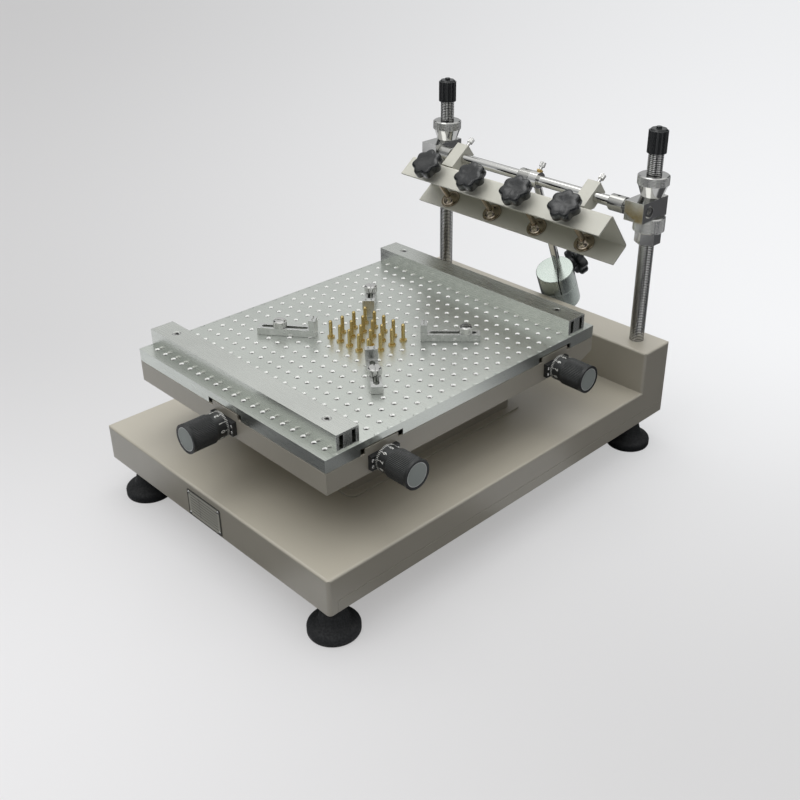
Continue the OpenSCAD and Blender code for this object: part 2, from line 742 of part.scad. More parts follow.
// Swivel foot of a clamp spindle, with a ball socket's collar
module press(k) color(chrome_grey) place() head_frame() spindle_place(k)
    translate([0, 0, flange_under + sheet + seat_gap]) difference() {
        union() {
            cylinder(d = press_foot, h = 1.6);
            translate([0, 0, 1.6]) rotate_extrude() polygon([[0, 0], [press_foot/2 - 3, 0],
                [press_foot/2 - 5, 1.2], [spindle/2 + 2.2, foot_rise - 3.6],
                [spindle/2 + 1.2, foot_rise - 1.6], [0, foot_rise - 1.6]]);
        }
        translate([0, 0, foot_socket]) cylinder(r = spindle/2 + run_fit, h = foot_rise);
    }

module press_spindle(k) color(chrome_grey) place() head_frame() spindle_place(k)
    translate([0, 0, spindle_low]) cylinder(d = spindle, h = star_low - spindle_low);

module star(k) color(black) place() head_frame() spindle_place(k)
    translate([0, 0, star_low]) star_knob(star_diameter/2, star_height);

module press_1() press(0);
module press_2() press(1);
module press_3() press(2);
module press_4() press(3);
module spindle_1() press_spindle(0);
module spindle_2() press_spindle(1);
module spindle_3() press_spindle(2);
module spindle_4() press_spindle(3);
module star_1() star(0);
module star_2() star(1);
module star_3() star(2);
module star_4() star(3);

// Frame of the counterweight, leaning on the step
module hanger_frame() translate([hub_x, rod_y, rod_z]) rotate([hanger_angle, 0, 0]) children();

module weight_hub() color(steel_grey) place() hanger_frame() {
    difference() {
        translate([-hub_width/2, 0, 0]) rotate([0, 90, 0]) cylinder(r = hub_radius, h = hub_width);
        translate([-hub_width, 0, 0]) rotate([0, 90, 0])
            cylinder(r = rod_diameter/2 + run_fit, h = 2*hub_width);
        rotate([-hub_screw_turn, 0, 0]) cylinder(r = 2 + run_fit, h = hub_radius + 1);
    }
    difference() {
        rotate([0, hanger_lean, 0]) translate([0, 0, -hanger_length - weight_upper - weight_lower - 1.5])
            cylinder(d = hanger_diameter, h = hanger_length + weight_upper + weight_lower + 1.5);
        rotate([0, 90, 0]) cylinder(r = hub_radius - 1, h = 2*hub_width, center = true);
    }
}

module hub_screw() color(chrome_grey) place() hanger_frame() rotate([-hub_screw_turn, 0, 0]) {
    translate([0, 0, rod_diameter/2 + seat_gap]) cylinder(r = 2, h = 11);
    translate([0, 0, hub_radius + seat_gap]) linear_extrude(2.2) hex_outline(7);
    translate([0, 0, rod_diameter/2 + 10]) linear_extrude(5.5) knurl(arm_head, screw_knurl, 20);
}

module weight_frame() hanger_frame() rotate([0, hanger_lean, 0])
    translate([0, 0, -hanger_length]) children();

module weight() color(chrome_grey) place() weight_frame() difference() {
    union() {
        translate([0, weight_shift, -weight_upper]) weight_disc(weight_upper);
        translate([0, weight_shift, -weight_upper - weight_lower]) weight_disc(weight_lower);
    }
    translate([0, 0, -weight_upper - weight_lower - 1])
        cylinder(r = hanger_diameter/2 + run_fit, h = weight_upper + weight_lower + 2);
    rotate(slit_turn) translate([0, -0.8, -weight_upper - 0.3])
        cube([2*weight_radius, 1.6, weight_upper + 1]);
    rotate(knob_turn) translate([0, 0, -knob_level]) rotate([0, 90, 0])
        cylinder(r = knob_screw + run_fit, h = 2*weight_radius);
}

module weight_disc(h) {
    translate([0, 0, 0.6]) cylinder(r = weight_radius, h = h - 1.2);
    cylinder(r1 = weight_radius - 0.6, r2 = weight_radius, h = 0.6);
    translate([0, 0, h - 0.6]) cylinder(r1 = weight_radius, r2 = weight_radius - 0.6, h = 0.6);
}

module weight_knob() place() weight_frame() rotate(knob_turn) translate([0, 0, -knob_level])
    rotate([0, 90, 0]) {
        color(chrome_grey) translate([0, 0, hanger_diameter/2 + seat_gap]) cylinder(r = knob_screw, h = 16);
        color(black) translate([0, 0, knob_seat]) star_knob(star_diameter/2, 15);
    }

base_case();
bottom_pan();
feet();
foot_studs();
posts();
post_nuts();
post_caps();
pedestal();
tray();
knob_flanges();
flange_screws();
knob_front();
knob_front_face();
knob_side_front();
knob_side_front_face();
knob_side_rear();
knob_side_rear_face();
saddle();
cross_slide();
perforated_table();
bar_front();
bar_rear();
bar_screws();
locating_pins();
clamp_right();
clamp_left();
clamp_front();
clamp_rear();
clamp_screw_right();
clamp_screw_left();
clamp_screw_front();
clamp_screw_rear();
cross_rod();
end_blocks();
rod_end_screws();
rod_collars();
adjuster_left();
adjuster_right();
lock_left();
lock_right();
stencil_holder();
hanger_arms();
arm_screw_left();
arm_screw_right();
press_1();
press_2();
press_3();
press_4();
spindle_1();
spindle_2();
spindle_3();
spindle_4();
star_1();
star_2();
star_3();
star_4();
weight_hub();
hub_screw();
weight();
weight_knob();
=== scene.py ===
"""Looks, light and camera of a tabletop screen printing press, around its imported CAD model."""
import logging
import math
from dataclasses import dataclass, field, replace
from enum import Enum
from functools import partialmethod
from typing import Any, Callable, Optional, Sequence

import bmesh
import bpy
from mathutils import Euler, Matrix, Quaternion, Vector


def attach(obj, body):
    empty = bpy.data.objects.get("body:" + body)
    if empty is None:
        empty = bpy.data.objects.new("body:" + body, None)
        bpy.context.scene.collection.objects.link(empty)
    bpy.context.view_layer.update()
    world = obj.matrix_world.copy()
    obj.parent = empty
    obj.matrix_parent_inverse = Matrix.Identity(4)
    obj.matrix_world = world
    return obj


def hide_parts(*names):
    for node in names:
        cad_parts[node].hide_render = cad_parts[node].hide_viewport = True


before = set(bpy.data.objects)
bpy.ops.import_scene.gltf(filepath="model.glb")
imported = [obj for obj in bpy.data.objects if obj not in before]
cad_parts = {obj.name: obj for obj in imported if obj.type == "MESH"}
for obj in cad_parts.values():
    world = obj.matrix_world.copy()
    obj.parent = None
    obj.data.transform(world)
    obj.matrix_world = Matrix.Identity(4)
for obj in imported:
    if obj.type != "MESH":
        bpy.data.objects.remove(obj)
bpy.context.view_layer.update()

log = logging.getLogger("press")
NODES: dict[str, bpy.types.Object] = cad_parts
MM = 0.001
MIDDLE = Vector((5.15, 23.335, 0.0))
Socket = bpy.types.NodeSocket
Sockets = dict[str, Socket]
Pair = tuple[Socket, Socket]
Point = tuple[float, float, float]
Color = Point
QUARTER = math.radians(90)
WEIGHT_LEAN = (math.radians(25.3), math.radians(2.8))
POST_SPACING = 308.8
POST_Y = 236.2
ROD_Y = 215.7
ROD_Z = 290.8


def at(x: float, y: float, z: float) -> Vector:
    """A point in metres in the row frame.

    Args:
        x, y, z: millimetres from the base's own centre, on the bench.

    Returns:
        The same point in the row frame.
    """
    return (Vector((x, y, z)) - MIDDLE) * MM


class Facing(Enum):
    """The way a round piece's axis points."""

    UP = (0.0, 0.0, 0.0)
    FRONT = (QUARTER, 0.0, 0.0)
    RIGHT = (0.0, QUARTER, 0.0)
    HEAD = (math.radians(37), 0.0, 0.0)
    WEIGHT = (*WEIGHT_LEAN, 0.0)
    HUB_SCREW = (math.radians(-34.7), 0.0, 0.0)

    def matrix(self) -> Matrix:
        """The rotation as a matrix."""
        return Euler(self.value, "XYZ").to_matrix()


# Node trees


@dataclass
class Graph:
    """A node tree under construction, with short calls for nodes and links."""

    tree: bpy.types.NodeTree

    def add(self, kind: str, settings: Optional[dict[str, Any]] = None, **feeds: Any) -> bpy.types.Node:
        """Adds a node.

        Args:
            kind: the node's type.
            settings: attributes of the node.
            feeds: input names, with _ for a space, or _0, _1 for a place in the list.

        Returns:
            The new node.
        """
        made = self.tree.nodes.new(kind)
        for key, value in (settings or {}).items():
            setattr(made, key, value)
        for key, value in feeds.items():
            self.feed(made, key, value)
        return made

    def feed(self, made: bpy.types.Node, key: str, value: Any) -> None:
        """Links or sets one input of a node.

        Args:
            made: the node.
            key: the input's name, as in add.
            value: an output socket, or a plain value.
        """
        shown = [s for s in made.inputs if s.enabled]
        if key[1:].isdigit():
            socket = shown[int(key[1:])]
        else:
            socket = next(s for s in shown if s.name.replace(" ", "_") == key)
        if isinstance(value, bpy.types.NodeSocket):
            self.tree.links.new(value, socket)
        else:
            socket.default_value = value

    def use(self, tree: bpy.types.NodeTree, **feeds: Any) -> Any:
        """The outputs of a shader group."""
        return self.add("ShaderNodeGroup", {"node_tree": tree}, **feeds).outputs

    def math(self, operation: str, a: Any, b: Any = None, clamp: bool = False) -> Socket:
        """The result of one sum, of one value or two."""
        feeds = {"_0": a} if b is None else {"_0": a, "_1": b}
        return self.add("ShaderNodeMath", {"operation": operation, "use_clamp": clamp}, **feeds).outputs[0]

    plus = partialmethod(math, "ADD")
    minus = partialmethod(math, "SUBTRACT")
    times = partialmethod(math, "MULTIPLY")
    over = partialmethod(math, "DIVIDE")
    size = partialmethod(math, "ABSOLUTE")
    below = partialmethod(math, "LESS_THAN")
    above = partialmethod(math, "GREATER_THAN")
    larger = partialmethod(math, "MAXIMUM")

    def within(self, value: Socket, half: float) -> Socket:
        """1 where a value is less than half away from zero."""
        return self.below(self.size(value), half)

    def ramp(self, value: Socket, low: float, high: float, to_low: float = 0.0,
             to_high: float = 1.0) -> Socket:
        """A value mapped from one range to another, held at its ends."""
        made = self.add("ShaderNodeMapRange", {"interpolation_type": "SMOOTHSTEP"}, Value=value,
                        From_Min=low, From_Max=high, To_Min=to_low, To_Max=to_high)
        return made.outputs[0]

    def blend(self, share: Any, a: Any, b: Any) -> Socket:
        """A colour between two colours, each a socket or three plain values."""
        a, b = ((*c, 1.0) if isinstance(c, tuple) else c for c in (a, b))
        made = self.add("ShaderNodeMix", {"data_type": "RGBA"}, Factor=share, A=a, B=b)
        return next(s for s in made.outputs if s.enabled)

    def split(self, vector: Socket) -> Any:
        """The outputs X, Y and Z of a vector."""
        return self.add("ShaderNodeSeparateXYZ", Vector=vector).outputs

    def join(self, **parts: Any) -> Socket:
        """A vector of the given X, Y and Z."""
        return self.add("ShaderNodeCombineXYZ", **parts).outputs[0]

    def length(self, x: Socket, y: Socket) -> Socket:
        """The length of a flat vector."""
        flat = self.join(X=x, Y=y)
        return self.add("ShaderNodeVectorMath", {"operation": "LENGTH"}, _0=flat).outputs["Value"]

    def reach(self, vector: Socket) -> Socket:
        """The distance from the vector's own Z axis."""
        part = self.split(vector)
        return self.length(part["X"], part["Y"])

    def level(self, vector: Socket) -> Socket:
        """The height along the vector's own Z."""
        return self.split(vector)["Z"]

    def facing_up(self, low: float, high: float) -> Socket:
        """How much the surface faces up."""
        return self.ramp(self.level(self.add("ShaderNodeNewGeometry").outputs["True Normal"]), low, high)

    def noise(self, vector: Socket, scale: Any, detail: float = 3.0, rough: float = 0.55) -> Socket:
        """A noise value over the object's own coordinates."""
        return self.add("ShaderNodeTexNoise", Vector=vector, Scale=scale, Detail=detail,
                        Roughness=rough).outputs[0]


def group(name: str, inputs: Sequence[tuple[str, str, Any]], outputs: Sequence[tuple[str, str]],
          build: Callable[[Graph, Sockets], Sockets], kind: str = "ShaderNodeTree") -> bpy.types.NodeTree:
    """Builds a node group with named sockets.

    Args:
        name: the group's name.
        inputs: name, socket kind and default of each input.
        outputs: name and socket kind of each output.
        build: fills the tree and returns what feeds each output.
        kind: the tree's type.

    Returns:
        The finished group.
    """
    tree = bpy.data.node_groups.new(name, kind)
    for label, socket, default in inputs:
        made = tree.interface.new_socket(label, in_out="INPUT", socket_type="NodeSocket" + socket)
        if default is not None:
            made.default_value = default
    for label, socket in outputs:
        tree.interface.new_socket(label, in_out="OUTPUT", socket_type="NodeSocket" + socket)
    graph = Graph(tree)
    start = graph.add("NodeGroupInput")
    end = graph.add("NodeGroupOutput")
    found = build(graph, {label: start.outputs[label] for label, _, _ in inputs})
    for label, source in found.items():
        tree.links.new(source, end.inputs[label])
    return tree


class Effects:
    """The shader groups that the finishes share, each built once."""

    PLAIN = 0.5  # roughness of the noise in these groups

    def __init__(self) -> None:
        """Builds every group."""
        vector, scale = ("Vector", "Vector", None), ("Scale", "Float", 60.0)
        value, mask, height = ("Value", "Float"), ("Mask", "Float"), ("Height", "Float")
        self.mottle = group("Mottle", [vector, scale], [value, ("Fine", "Float")], self._mottle)
        self.edge = group("Edge Wear", [vector, ("Radius", "Float", 0.0005), ("Spread", "Float", 0.5)],
                          [mask, ("Normal", "Vector")], self._edge)
        self.lines = group("Brushed Lines", [vector, scale, ("Stretch", "Float", 30.0)], [value],
                           self._lines)
        self.turned = group("Turned Rings", [vector, scale], [value], self._turned)
        self.dust = group("Dust", [vector, scale, ("Amount", "Float", 0.3)], [mask], self._dust)
        self.knurl = group("Knurl", [vector, ("Count", "Float", 50.0), ("Pitch", "Float", 0.001)],
                           [height], self._knurl)
        self.rims = group("Hole Rims", [vector, ("Pitch X", "Float", 0.015), ("Pitch Y", "Float", 0.016333),
                                        ("Radius", "Float", 0.0024), ("Width", "Float", 0.0005)],
                          [height, mask], self._rims)

    @classmethod
    def _mottle(cls, g: Graph, i: Sockets) -> Sockets:
        """Slow and fine variation over a surface."""
        slow = g.noise(i["Vector"], 9.0, 4.0)
        return {"Value": g.ramp(slow, 0.3, 0.7), "Fine": g.noise(i["Vector"], i["Scale"], 4.0, cls.PLAIN)}

    @staticmethod
    def _edge(g: Graph, i: Sockets) -> Sockets:
        """Where an outer edge lies, and the normal of an edge that is slightly rounded.

        Args:
            g: the group's tree.
            i: its inputs.

        Returns:
            What feeds each output.
        """
        bevel = g.add("ShaderNodeBevel", {"samples": 4}, Radius=i["Radius"]).outputs[0]
        true = g.add("ShaderNodeNewGeometry").outputs["True Normal"]
        dot = g.add("ShaderNodeVectorMath", {"operation": "DOT_PRODUCT"}, _0=bevel, _1=true)
        turn = g.ramp(g.minus(1.0, dot.outputs["Value"]), 0.02, 0.25)
        chips = g.ramp(g.noise(i["Vector"], 180.0, 5.0), 0.35, 0.65)
        return {"Mask": g.times(g.plus(chips, i["Spread"], True), turn), "Normal": bevel}

    @classmethod
    def _lines(cls, g: Graph, i: Sockets) -> Sockets:
        """Fine lines along the vector's own X.

        Args:
            g: the group's tree.
            i: its inputs.

        Returns:
            What feeds each output.
        """
        size = g.join(X=1.0, Y=i["Stretch"], Z=i["Stretch"])
        long = g.add("ShaderNodeVectorMath", {"operation": "MULTIPLY"}, _0=i["Vector"], _1=size).outputs[0]
        return {"Value": g.noise(long, i["Scale"], 5.0, cls.PLAIN)}

    @classmethod
    def _turned(cls, g: Graph, i: Sockets) -> Sockets:
        """Concentric tool marks about the vector's own Z."""
        line = g.join(X=g.times(g.reach(i["Vector"]), 60.0), Y=g.level(i["Vector"]))
        return {"Value": g.noise(line, i["Scale"], 4.0, cls.PLAIN)}

    @classmethod
    def _dust(cls, g: Graph, i: Sockets) -> Sockets:
        """Dust that settles on what faces up.

        Args:
            g: the group's tree.
            i: its inputs.

        Returns:
            What feeds each output.
        """
        up = g.level(g.add("ShaderNodeNewGeometry").outputs["Normal"])
        patch = g.ramp(g.noise(i["Vector"], i["Scale"], 6.0, cls.PLAIN), 0.45, 0.8)
        return {"Mask": g.times(g.times(g.ramp(up, 0.4, 1.0), patch), i["Amount"])}

    @staticmethod
    def _knurl(g: Graph, i: Sockets) -> Sockets:
        """Crossed diamond ridges about the vector's own Z.

        Args:
            g: the group's tree.
            i: its inputs.

        Returns:
            What feeds each output.
        """
        part = g.split(i["Vector"])
        turn = g.over(g.math("ARCTAN2", part["Y"], part["X"]), 2 * math.pi)
        across = g.times(turn, i["Count"])
        along = g.over(part["Z"], i["Pitch"])
        one = g.math("PINGPONG", g.plus(across, along), 0.5)
        two = g.math("PINGPONG", g.minus(across, along), 0.5)
        return {"Height": g.math("MINIMUM", one, two)}

    @staticmethod
    def _rims(g: Graph, i: Sockets) -> Sockets:
        """A broken edge round each hole of a regular field, about the vector's own origin.

        Args:
            g: the group's tree.
            i: its inputs.

        Returns:
            What feeds each output.
        """
        part = g.split(i["Vector"])
        ways = []
        for axis in "XY":
            pitch = i["Pitch " + axis]
            half = g.times(pitch, 0.5)
            ways.append(g.minus(g.math("FLOORED_MODULO", g.plus(part[axis], half), pitch), half))
        reach = g.length(*ways)
        past = g.over(g.minus(reach, i["Radius"]), i["Width"], True)
        return {"Height": past, "Mask": g.below(reach, g.plus(i["Radius"], i["Width"]))}


EFFECTS = Effects()


# Finishes

BLACK: Color = (0.0, 0.0, 0.0)
DUST: Color = (0.62, 0.6, 0.56)
# Painted shade for the screw heads' slots and countersinks.
SCREW_HEAD_SHADE: Color = (0.02, 0.02, 0.02)
INK: Color = (0.02, 0.02, 0.018)
# Painted shade for the roots of screw threads.
THREAD_ROOT_SHADE: Color = (0.03, 0.03, 0.028)
STEP = 0.2 * MM  # width of the change between two colours on a turned piece


@dataclass(frozen=True)
class Finish:
    """What every finish shares: a named material with a base colour that varies over the surface.

    The edge's radius and the bump's depth are in millimetres, and the centre is in metres.
    """

    name: str
    color: Color
    roughness: float = 0.4
    metallic: float = 0.0
    edge: float = 0.5
    edge_color: Optional[Color] = None
    vary: float = 0.12
    grain: float = 400.0
    bump: float = 0.05
    dust: float = 0.06
    centre: Optional[Vector] = None
    facing: Facing = Facing.UP
    suffix: str = ""

    def shade(self, factor: float) -> Color:
        """The base colour made darker or lighter."""
        return tuple(min(1.0, c * factor) for c in self.color)

    def vector(self, g: Graph) -> Socket:
        """The object's own coordinates, centred and turned where the pattern needs it.

        Args:
            g: the material's tree.

        Returns:
            The coordinates that the pattern reads.
        """
        own = g.add("ShaderNodeTexCoord").outputs["Object"]
        if self.centre is None and self.facing is Facing.UP:
            return own
        return g.add("ShaderNodeMapping", {"vector_type": "TEXTURE"}, Vector=own,
                     Location=self.centre or Vector(), Rotation=self.facing.value).outputs[0]

    def pattern(self, g: Graph, vector: Socket) -> Pair:
        """The fine pattern of this finish.

        Args:
            g: the material's tree.
            vector: the coordinates to read.

        Returns:
            A value that varies colour and gloss, and the height of the relief.
        """
        fine = g.use(EFFECTS.mottle, Vector=vector, Scale=self.grain)["Fine"]
        return fine, fine

    def depth(self) -> float:
        """The depth of the relief, in metres."""
        return self.bump * MM

    def tint(self, g: Graph, vector: Socket, color: Socket) -> Socket:
        """The base colour with what only some finishes add.

        Args:
            g: the material's tree.
            vector: the coordinates to read.
            color: the base colour so far.

        Returns:
            The final base colour.
        """
        return color

    def finish(self, g: Graph, shader: bpy.types.Node) -> None:
        """Sets what only some finishes have, on the shader's own sockets.

        Args:
            g: the material's tree.
            shader: its Principled BSDF.
        """

    def material(self) -> bpy.types.Material:
        """Builds the material.

        Returns:
            A node material, ready to be assigned.
        """
        made = bpy.data.materials.new(self.name + self.suffix)
        made.use_nodes = True
        made.node_tree.nodes.clear()
        g = Graph(made.node_tree)
        vector = self.vector(g)
        slow = g.use(EFFECTS.mottle, Vector=vector, Scale=self.grain)["Value"]
        value, height = self.pattern(g, vector)
        edge = g.use(EFFECTS.edge, Vector=vector, Radius=self.edge * MM)
        dust = g.use(EFFECTS.dust, Vector=vector, Amount=self.dust)["Mask"]
        color = g.blend(slow, self.shade(1 - self.vary), self.shade(1 + self.vary))
        color = g.blend(g.ramp(value, 0.3, 0.7, 0.0, self.vary * 2), color, self.shade(1 - self.vary * 2))
        # Lighter outer edges: edge wear, and on the black grip also a painted highlight.
        color = g.blend(edge["Mask"], color, self.edge_color or self.color)
        color = self.tint(g, vector, g.blend(dust, color, DUST))
        rough = g.ramp(value, 0.25, 0.75, self.roughness * 0.85, min(1.0, self.roughness * 1.2))
        bump = g.add("ShaderNodeBump", Strength=1.0, Distance=self.depth(), Height=height,
                     Normal=edge["Normal"])
        shader = g.add("ShaderNodeBsdfPrincipled", Base_Color=color, Roughness=rough,
                       Metallic=self.metallic, Normal=bump.outputs[0])
        self.finish(g, shader)
        end = g.add("ShaderNodeOutputMaterial")
        g.tree.links.new(shader.outputs[0], end.inputs["Surface"])
        return made


@dataclass(frozen=True)
class Paint(Finish):
    """Satin stoved enamel with a slight orange peel."""

    edge: float = 1.0
    vary: float = 0.05
    grain: float = 900.0
    bump: float = 0.02
    coat: float = 0.15
    coat_roughness: float = 0.3
    # How much lighter the faces that look up are painted: painted light from above.
    painted_top_light: float = 1.0

    def tint(self, g: Graph, vector: Socket, color: Socket) -> Socket:
        """Lightens what faces up: painted light, as if falling from above on the top faces."""
        if self.painted_top_light == 1.0:
            return color
        # Painted light: the top faces are lighter.
        return g.blend(g.facing_up(0.3, 0.8), color, self.shade(self.painted_top_light))

    def pattern(self, g: Graph, vector: Socket) -> Pair:
        """Fine specks, over orange peel."""
        peel = g.noise(vector, self.grain, 2.0)
        return g.noise(vector, self.grain * 4, 4.0), peel

    def finish(self, g: Graph, shader: bpy.types.Node) -> None:
        """Adds the enamel's clear gloss."""
        g.feed(shader, "Coat_Weight", self.coat)
        g.feed(shader, "Coat_Roughness", self.coat_roughness)


@dataclass(frozen=True)
class Metal(Finish):
    """Bare or plated metal."""

    metallic: float = 1.0
    edge: float = 0.3
    vary: float = 0.1
    bump: float = 0.004


@dataclass(frozen=True)
class Brushed(Metal):
    """Metal with fine parallel tool lines."""

    stretch: float = 40.0

    def pattern(self, g: Graph, vector: Socket) -> Pair:
        """Lines along the pattern's own X."""
        line = g.use(EFFECTS.lines, Vector=vector, Scale=self.grain, Stretch=self.stretch)["Value"]
        return line, line


@dataclass(frozen=True)
class Turned(Metal):
    """Metal with concentric tool marks."""

    def pattern(self, g: Graph, vector: Socket) -> Pair:
        """Rings about the pattern's own Z."""
        ring = g.use(EFFECTS.turned, Vector=vector, Scale=self.grain)["Value"]
        return ring, ring


@dataclass(frozen=True)
class Knurled(Metal):
    """A surface with crossed knurls about its own axis."""

    count: float = 60.0
    pitch: float = 1.2
    inner: float = 0.0
    # Colour of a painted highlight on the diamonds' crests.
    crest_highlight: Optional[Color] = None

    def ridges(self, g: Graph, vector: Socket) -> Socket:
        """The height of the diamonds, only outside the inner radius.

        Args:
            g: the material's tree.
            vector: the coordinates to read.

        Returns:
            The height.
        """
        made = g.use(EFFECTS.knurl, Vector=vector, Count=self.count, Pitch=self.pitch * MM)["Height"]
        if not self.inner:
            return made
        return g.times(made, g.ramp(g.reach(vector), self.inner * MM, self.inner * MM + STEP))

    def pattern(self, g: Graph, vector: Socket) -> Pair:
        """Diamond knurls about the pattern's own Z."""
        return g.noise(vector, self.grain), self.ridges(g, vector)

    def tint(self, g: Graph, vector: Socket, color: Socket) -> Socket:
        """Paints a highlight on the diamonds' crests where the finish names a colour for it."""
        if self.crest_highlight is None:
            return color
        # Painted highlight on the crests.
        return g.blend(g.ramp(self.ridges(g, vector), 0.22, 0.38), color, self.crest_highlight)


@dataclass(frozen=True)
class Perforated(Brushed):
    """Brushed plate whose holes have broken edges, and painted shade and highlight on their walls."""

    width: float = 0.55
    radius: float = 2.4
    rim_depth: float = 0.45
    half: tuple[float, float] = (148.0, 185.0)
    mouth: tuple[float, float] = (-2.3, -1.1)
    # Wall colours: painted shade deep in the holes, a painted highlight at the mouth.
    wall_shade_and_highlight: tuple[Color, Color] = ((0.05, 0.05, 0.048), (1.0, 1.0, 0.98))
    # Emission at the holes' mouths: a painted highlight that glows.
    painted_mouth_glow: Color = (0.38, 0.38, 0.37)

    def depth(self) -> float:
        """The depth of the relief, in metres."""
        return self.rim_depth * MM

    def pattern(self, g: Graph, vector: Socket) -> Pair:
        """Tool lines, and a bevel round each hole.

        Args:
            g: the material's tree.
            vector: the coordinates to read.

        Returns:
            A value that varies colour and gloss, and the height of the relief.
        """
        value, lines = super().pattern(g, vector)
        rims = g.use(EFFECTS.rims, Vector=vector, Radius=self.radius * MM, Width=self.width * MM)
        height = g.plus(rims["Height"], g.times(lines, self.bump))
        return value, g.times(height, g.facing_up(0.5, 0.9))

    def wall(self, g: Graph, vector: Socket) -> Pair:
        """The mask of the holes' walls, and how near they are to the mouth.

        Args:
            g: the material's tree.
            vector: the coordinates to read.

        Returns:
            The mask, and the nearness from 0 to 1.
        """
        side = g.split(vector)
        inner = g.times(*(g.within(side[k], half * MM) for k, half in zip("XY", self.half)))
        mask = g.times(g.minus(1.0, g.facing_up(0.3, 0.6)), inner)
        return mask, g.ramp(side["Z"], *(level * MM for level in self.mouth))

    def tint(self, g: Graph, vector: Socket, color: Socket) -> Socket:
        """Bare metal in the holes, with a painted highlight at the mouth and painted shade further down."""
        mask, near = self.wall(g, vector)
        # Painted shade down the walls, painted highlight at the mouth.
        return g.blend(mask, color, g.blend(near, *self.wall_shade_and_highlight))

    def finish(self, g: Graph, shader: bpy.types.Node) -> None:
        """The walls scatter light, and the mouths glow as a painted highlight.

        Args:
            g: the material's tree.
            shader: its Principled BSDF.
        """
        mask, near = self.wall(g, self.vector(g))
        g.feed(shader, "Metallic", g.minus(1.0, mask))
        # Painted highlight: the hole mouths glow.
        g.feed(shader, "Emission_Color", g.blend(g.times(mask, near), BLACK, self.painted_mouth_glow))
        g.feed(shader, "Emission_Strength", 1.0)


@dataclass(frozen=True)
class Slotted(Metal):
    """Countersunk heads at four places about the pattern's middle, with painted shade at their edges and
    middles.
    """

    apart: tuple[float, float] = (120.0, 162.3)
    bright: tuple[float, float] = (2.3, 4.0)

    def tint(self, g: Graph, vector: Socket, color: Socket) -> Socket:
        """Paints shade in the countersink and round the slot.

        Args:
            g: the material's tree.
            vector: the coordinates to read.
            color: the base colour so far.

        Returns:
            The final base colour.
        """
        part = g.split(vector)
        reach = g.length(*(g.minus(g.size(part[k]), apart * MM) for k, apart in zip("XY", self.apart)))
        low, high = self.bright
        # Painted shade in the slot and the countersink.
        return g.blend(g.larger(g.below(reach, low * MM), g.above(reach, high * MM)), color, SCREW_HEAD_SHADE)


@dataclass(frozen=True)
class Ruled(Brushed):
    """Plate with plain engraved rules and no lettering, about the middle of its face."""

    row: float = 3.4
    line: float = 0.9
    border: float = 1.6
    half: tuple[float, float] = (22.0, 12.0)
    outer: tuple[float, float] = (28.0, 15.5)
    strength: float = 0.85

    def tint(self, g: Graph, vector: Socket, color: Socket) -> Socket:
        """Darkens the level rules, one upright rule left of the middle, and the border.

        Args:
            g: the material's tree.
            vector: the coordinates to read.
            color: the base colour so far.

        Returns:
            The final base colour.
        """
        side = g.split(vector)
        thin = self.line / 2 * MM
        level = g.below(g.math("PINGPONG", side["Z"], self.row / 2 * MM), thin)
        upright = g.within(g.plus(side["X"], self.half[0] / 3 * MM), thin)
        inside = g.times(*(g.within(side[k], half * MM) for k, half in zip("XZ", self.half)))
        rim = g.larger(*(g.above(g.size(side[k]), (outer - self.border) * MM)
                         for k, outer in zip("XZ", self.outer)))
        dark = g.larger(g.times(g.larger(level, upright), inside), rim)
        return g.blend(g.times(dark, self.strength), color, INK)


@dataclass(frozen=True)
class Disc(Turned):
    """A turned face with a bright ring at its edge."""

    rim: float = 11.4
    rim_color: Color = (0.78, 0.79, 0.78)

    def tint(self, g: Graph, vector: Socket, color: Socket) -> Socket:
        """Lays the bright ring over the face."""
        return g.blend(g.ramp(g.reach(vector), self.rim * MM, self.rim * MM + STEP), color, self.rim_color)


@dataclass(frozen=True)
class Banded(Metal):
    """A plated piece with one band of another metal along its axis."""

    band: tuple[float, float] = (0.0, 1.0)
    band_color: Color = (0.62, 0.44, 0.17)

    def tint(self, g: Graph, vector: Socket, color: Socket) -> Socket:
        """Lays the band over the plating.

        Args:
            g: the material's tree.
            vector: the coordinates to read.
            color: the base colour so far.

        Returns:
            The final base colour.
        """
        level = g.level(vector)
        low, high = self.band
        return g.blend(g.times(g.above(level, low * MM), g.below(level, high * MM)), color, self.band_color)


@dataclass(frozen=True)
class Threaded(Metal):
    """Screw threads about the pattern's own Z, with painted shade at their roots."""

    root: float = 7.4
    crest: float = 8.4
    apart: float = 0.0

    def tint(self, g: Graph, vector: Socket, color: Socket) -> Socket:
        """Paints shade into the roots of two threads, one on each side of the middle.

        Args:
            g: the material's tree.
            vector: the coordinates to read.
            color: the base colour so far.

        Returns:
            The final base colour.
        """
        part = g.split(vector)
        reach = g.length(g.minus(g.size(part["X"]), self.apart * MM), part["Y"])
        # Painted shade at the thread roots.
        return g.blend(g.ramp(reach, self.root * MM, self.crest * MM), THREAD_ROOT_SHADE, color)


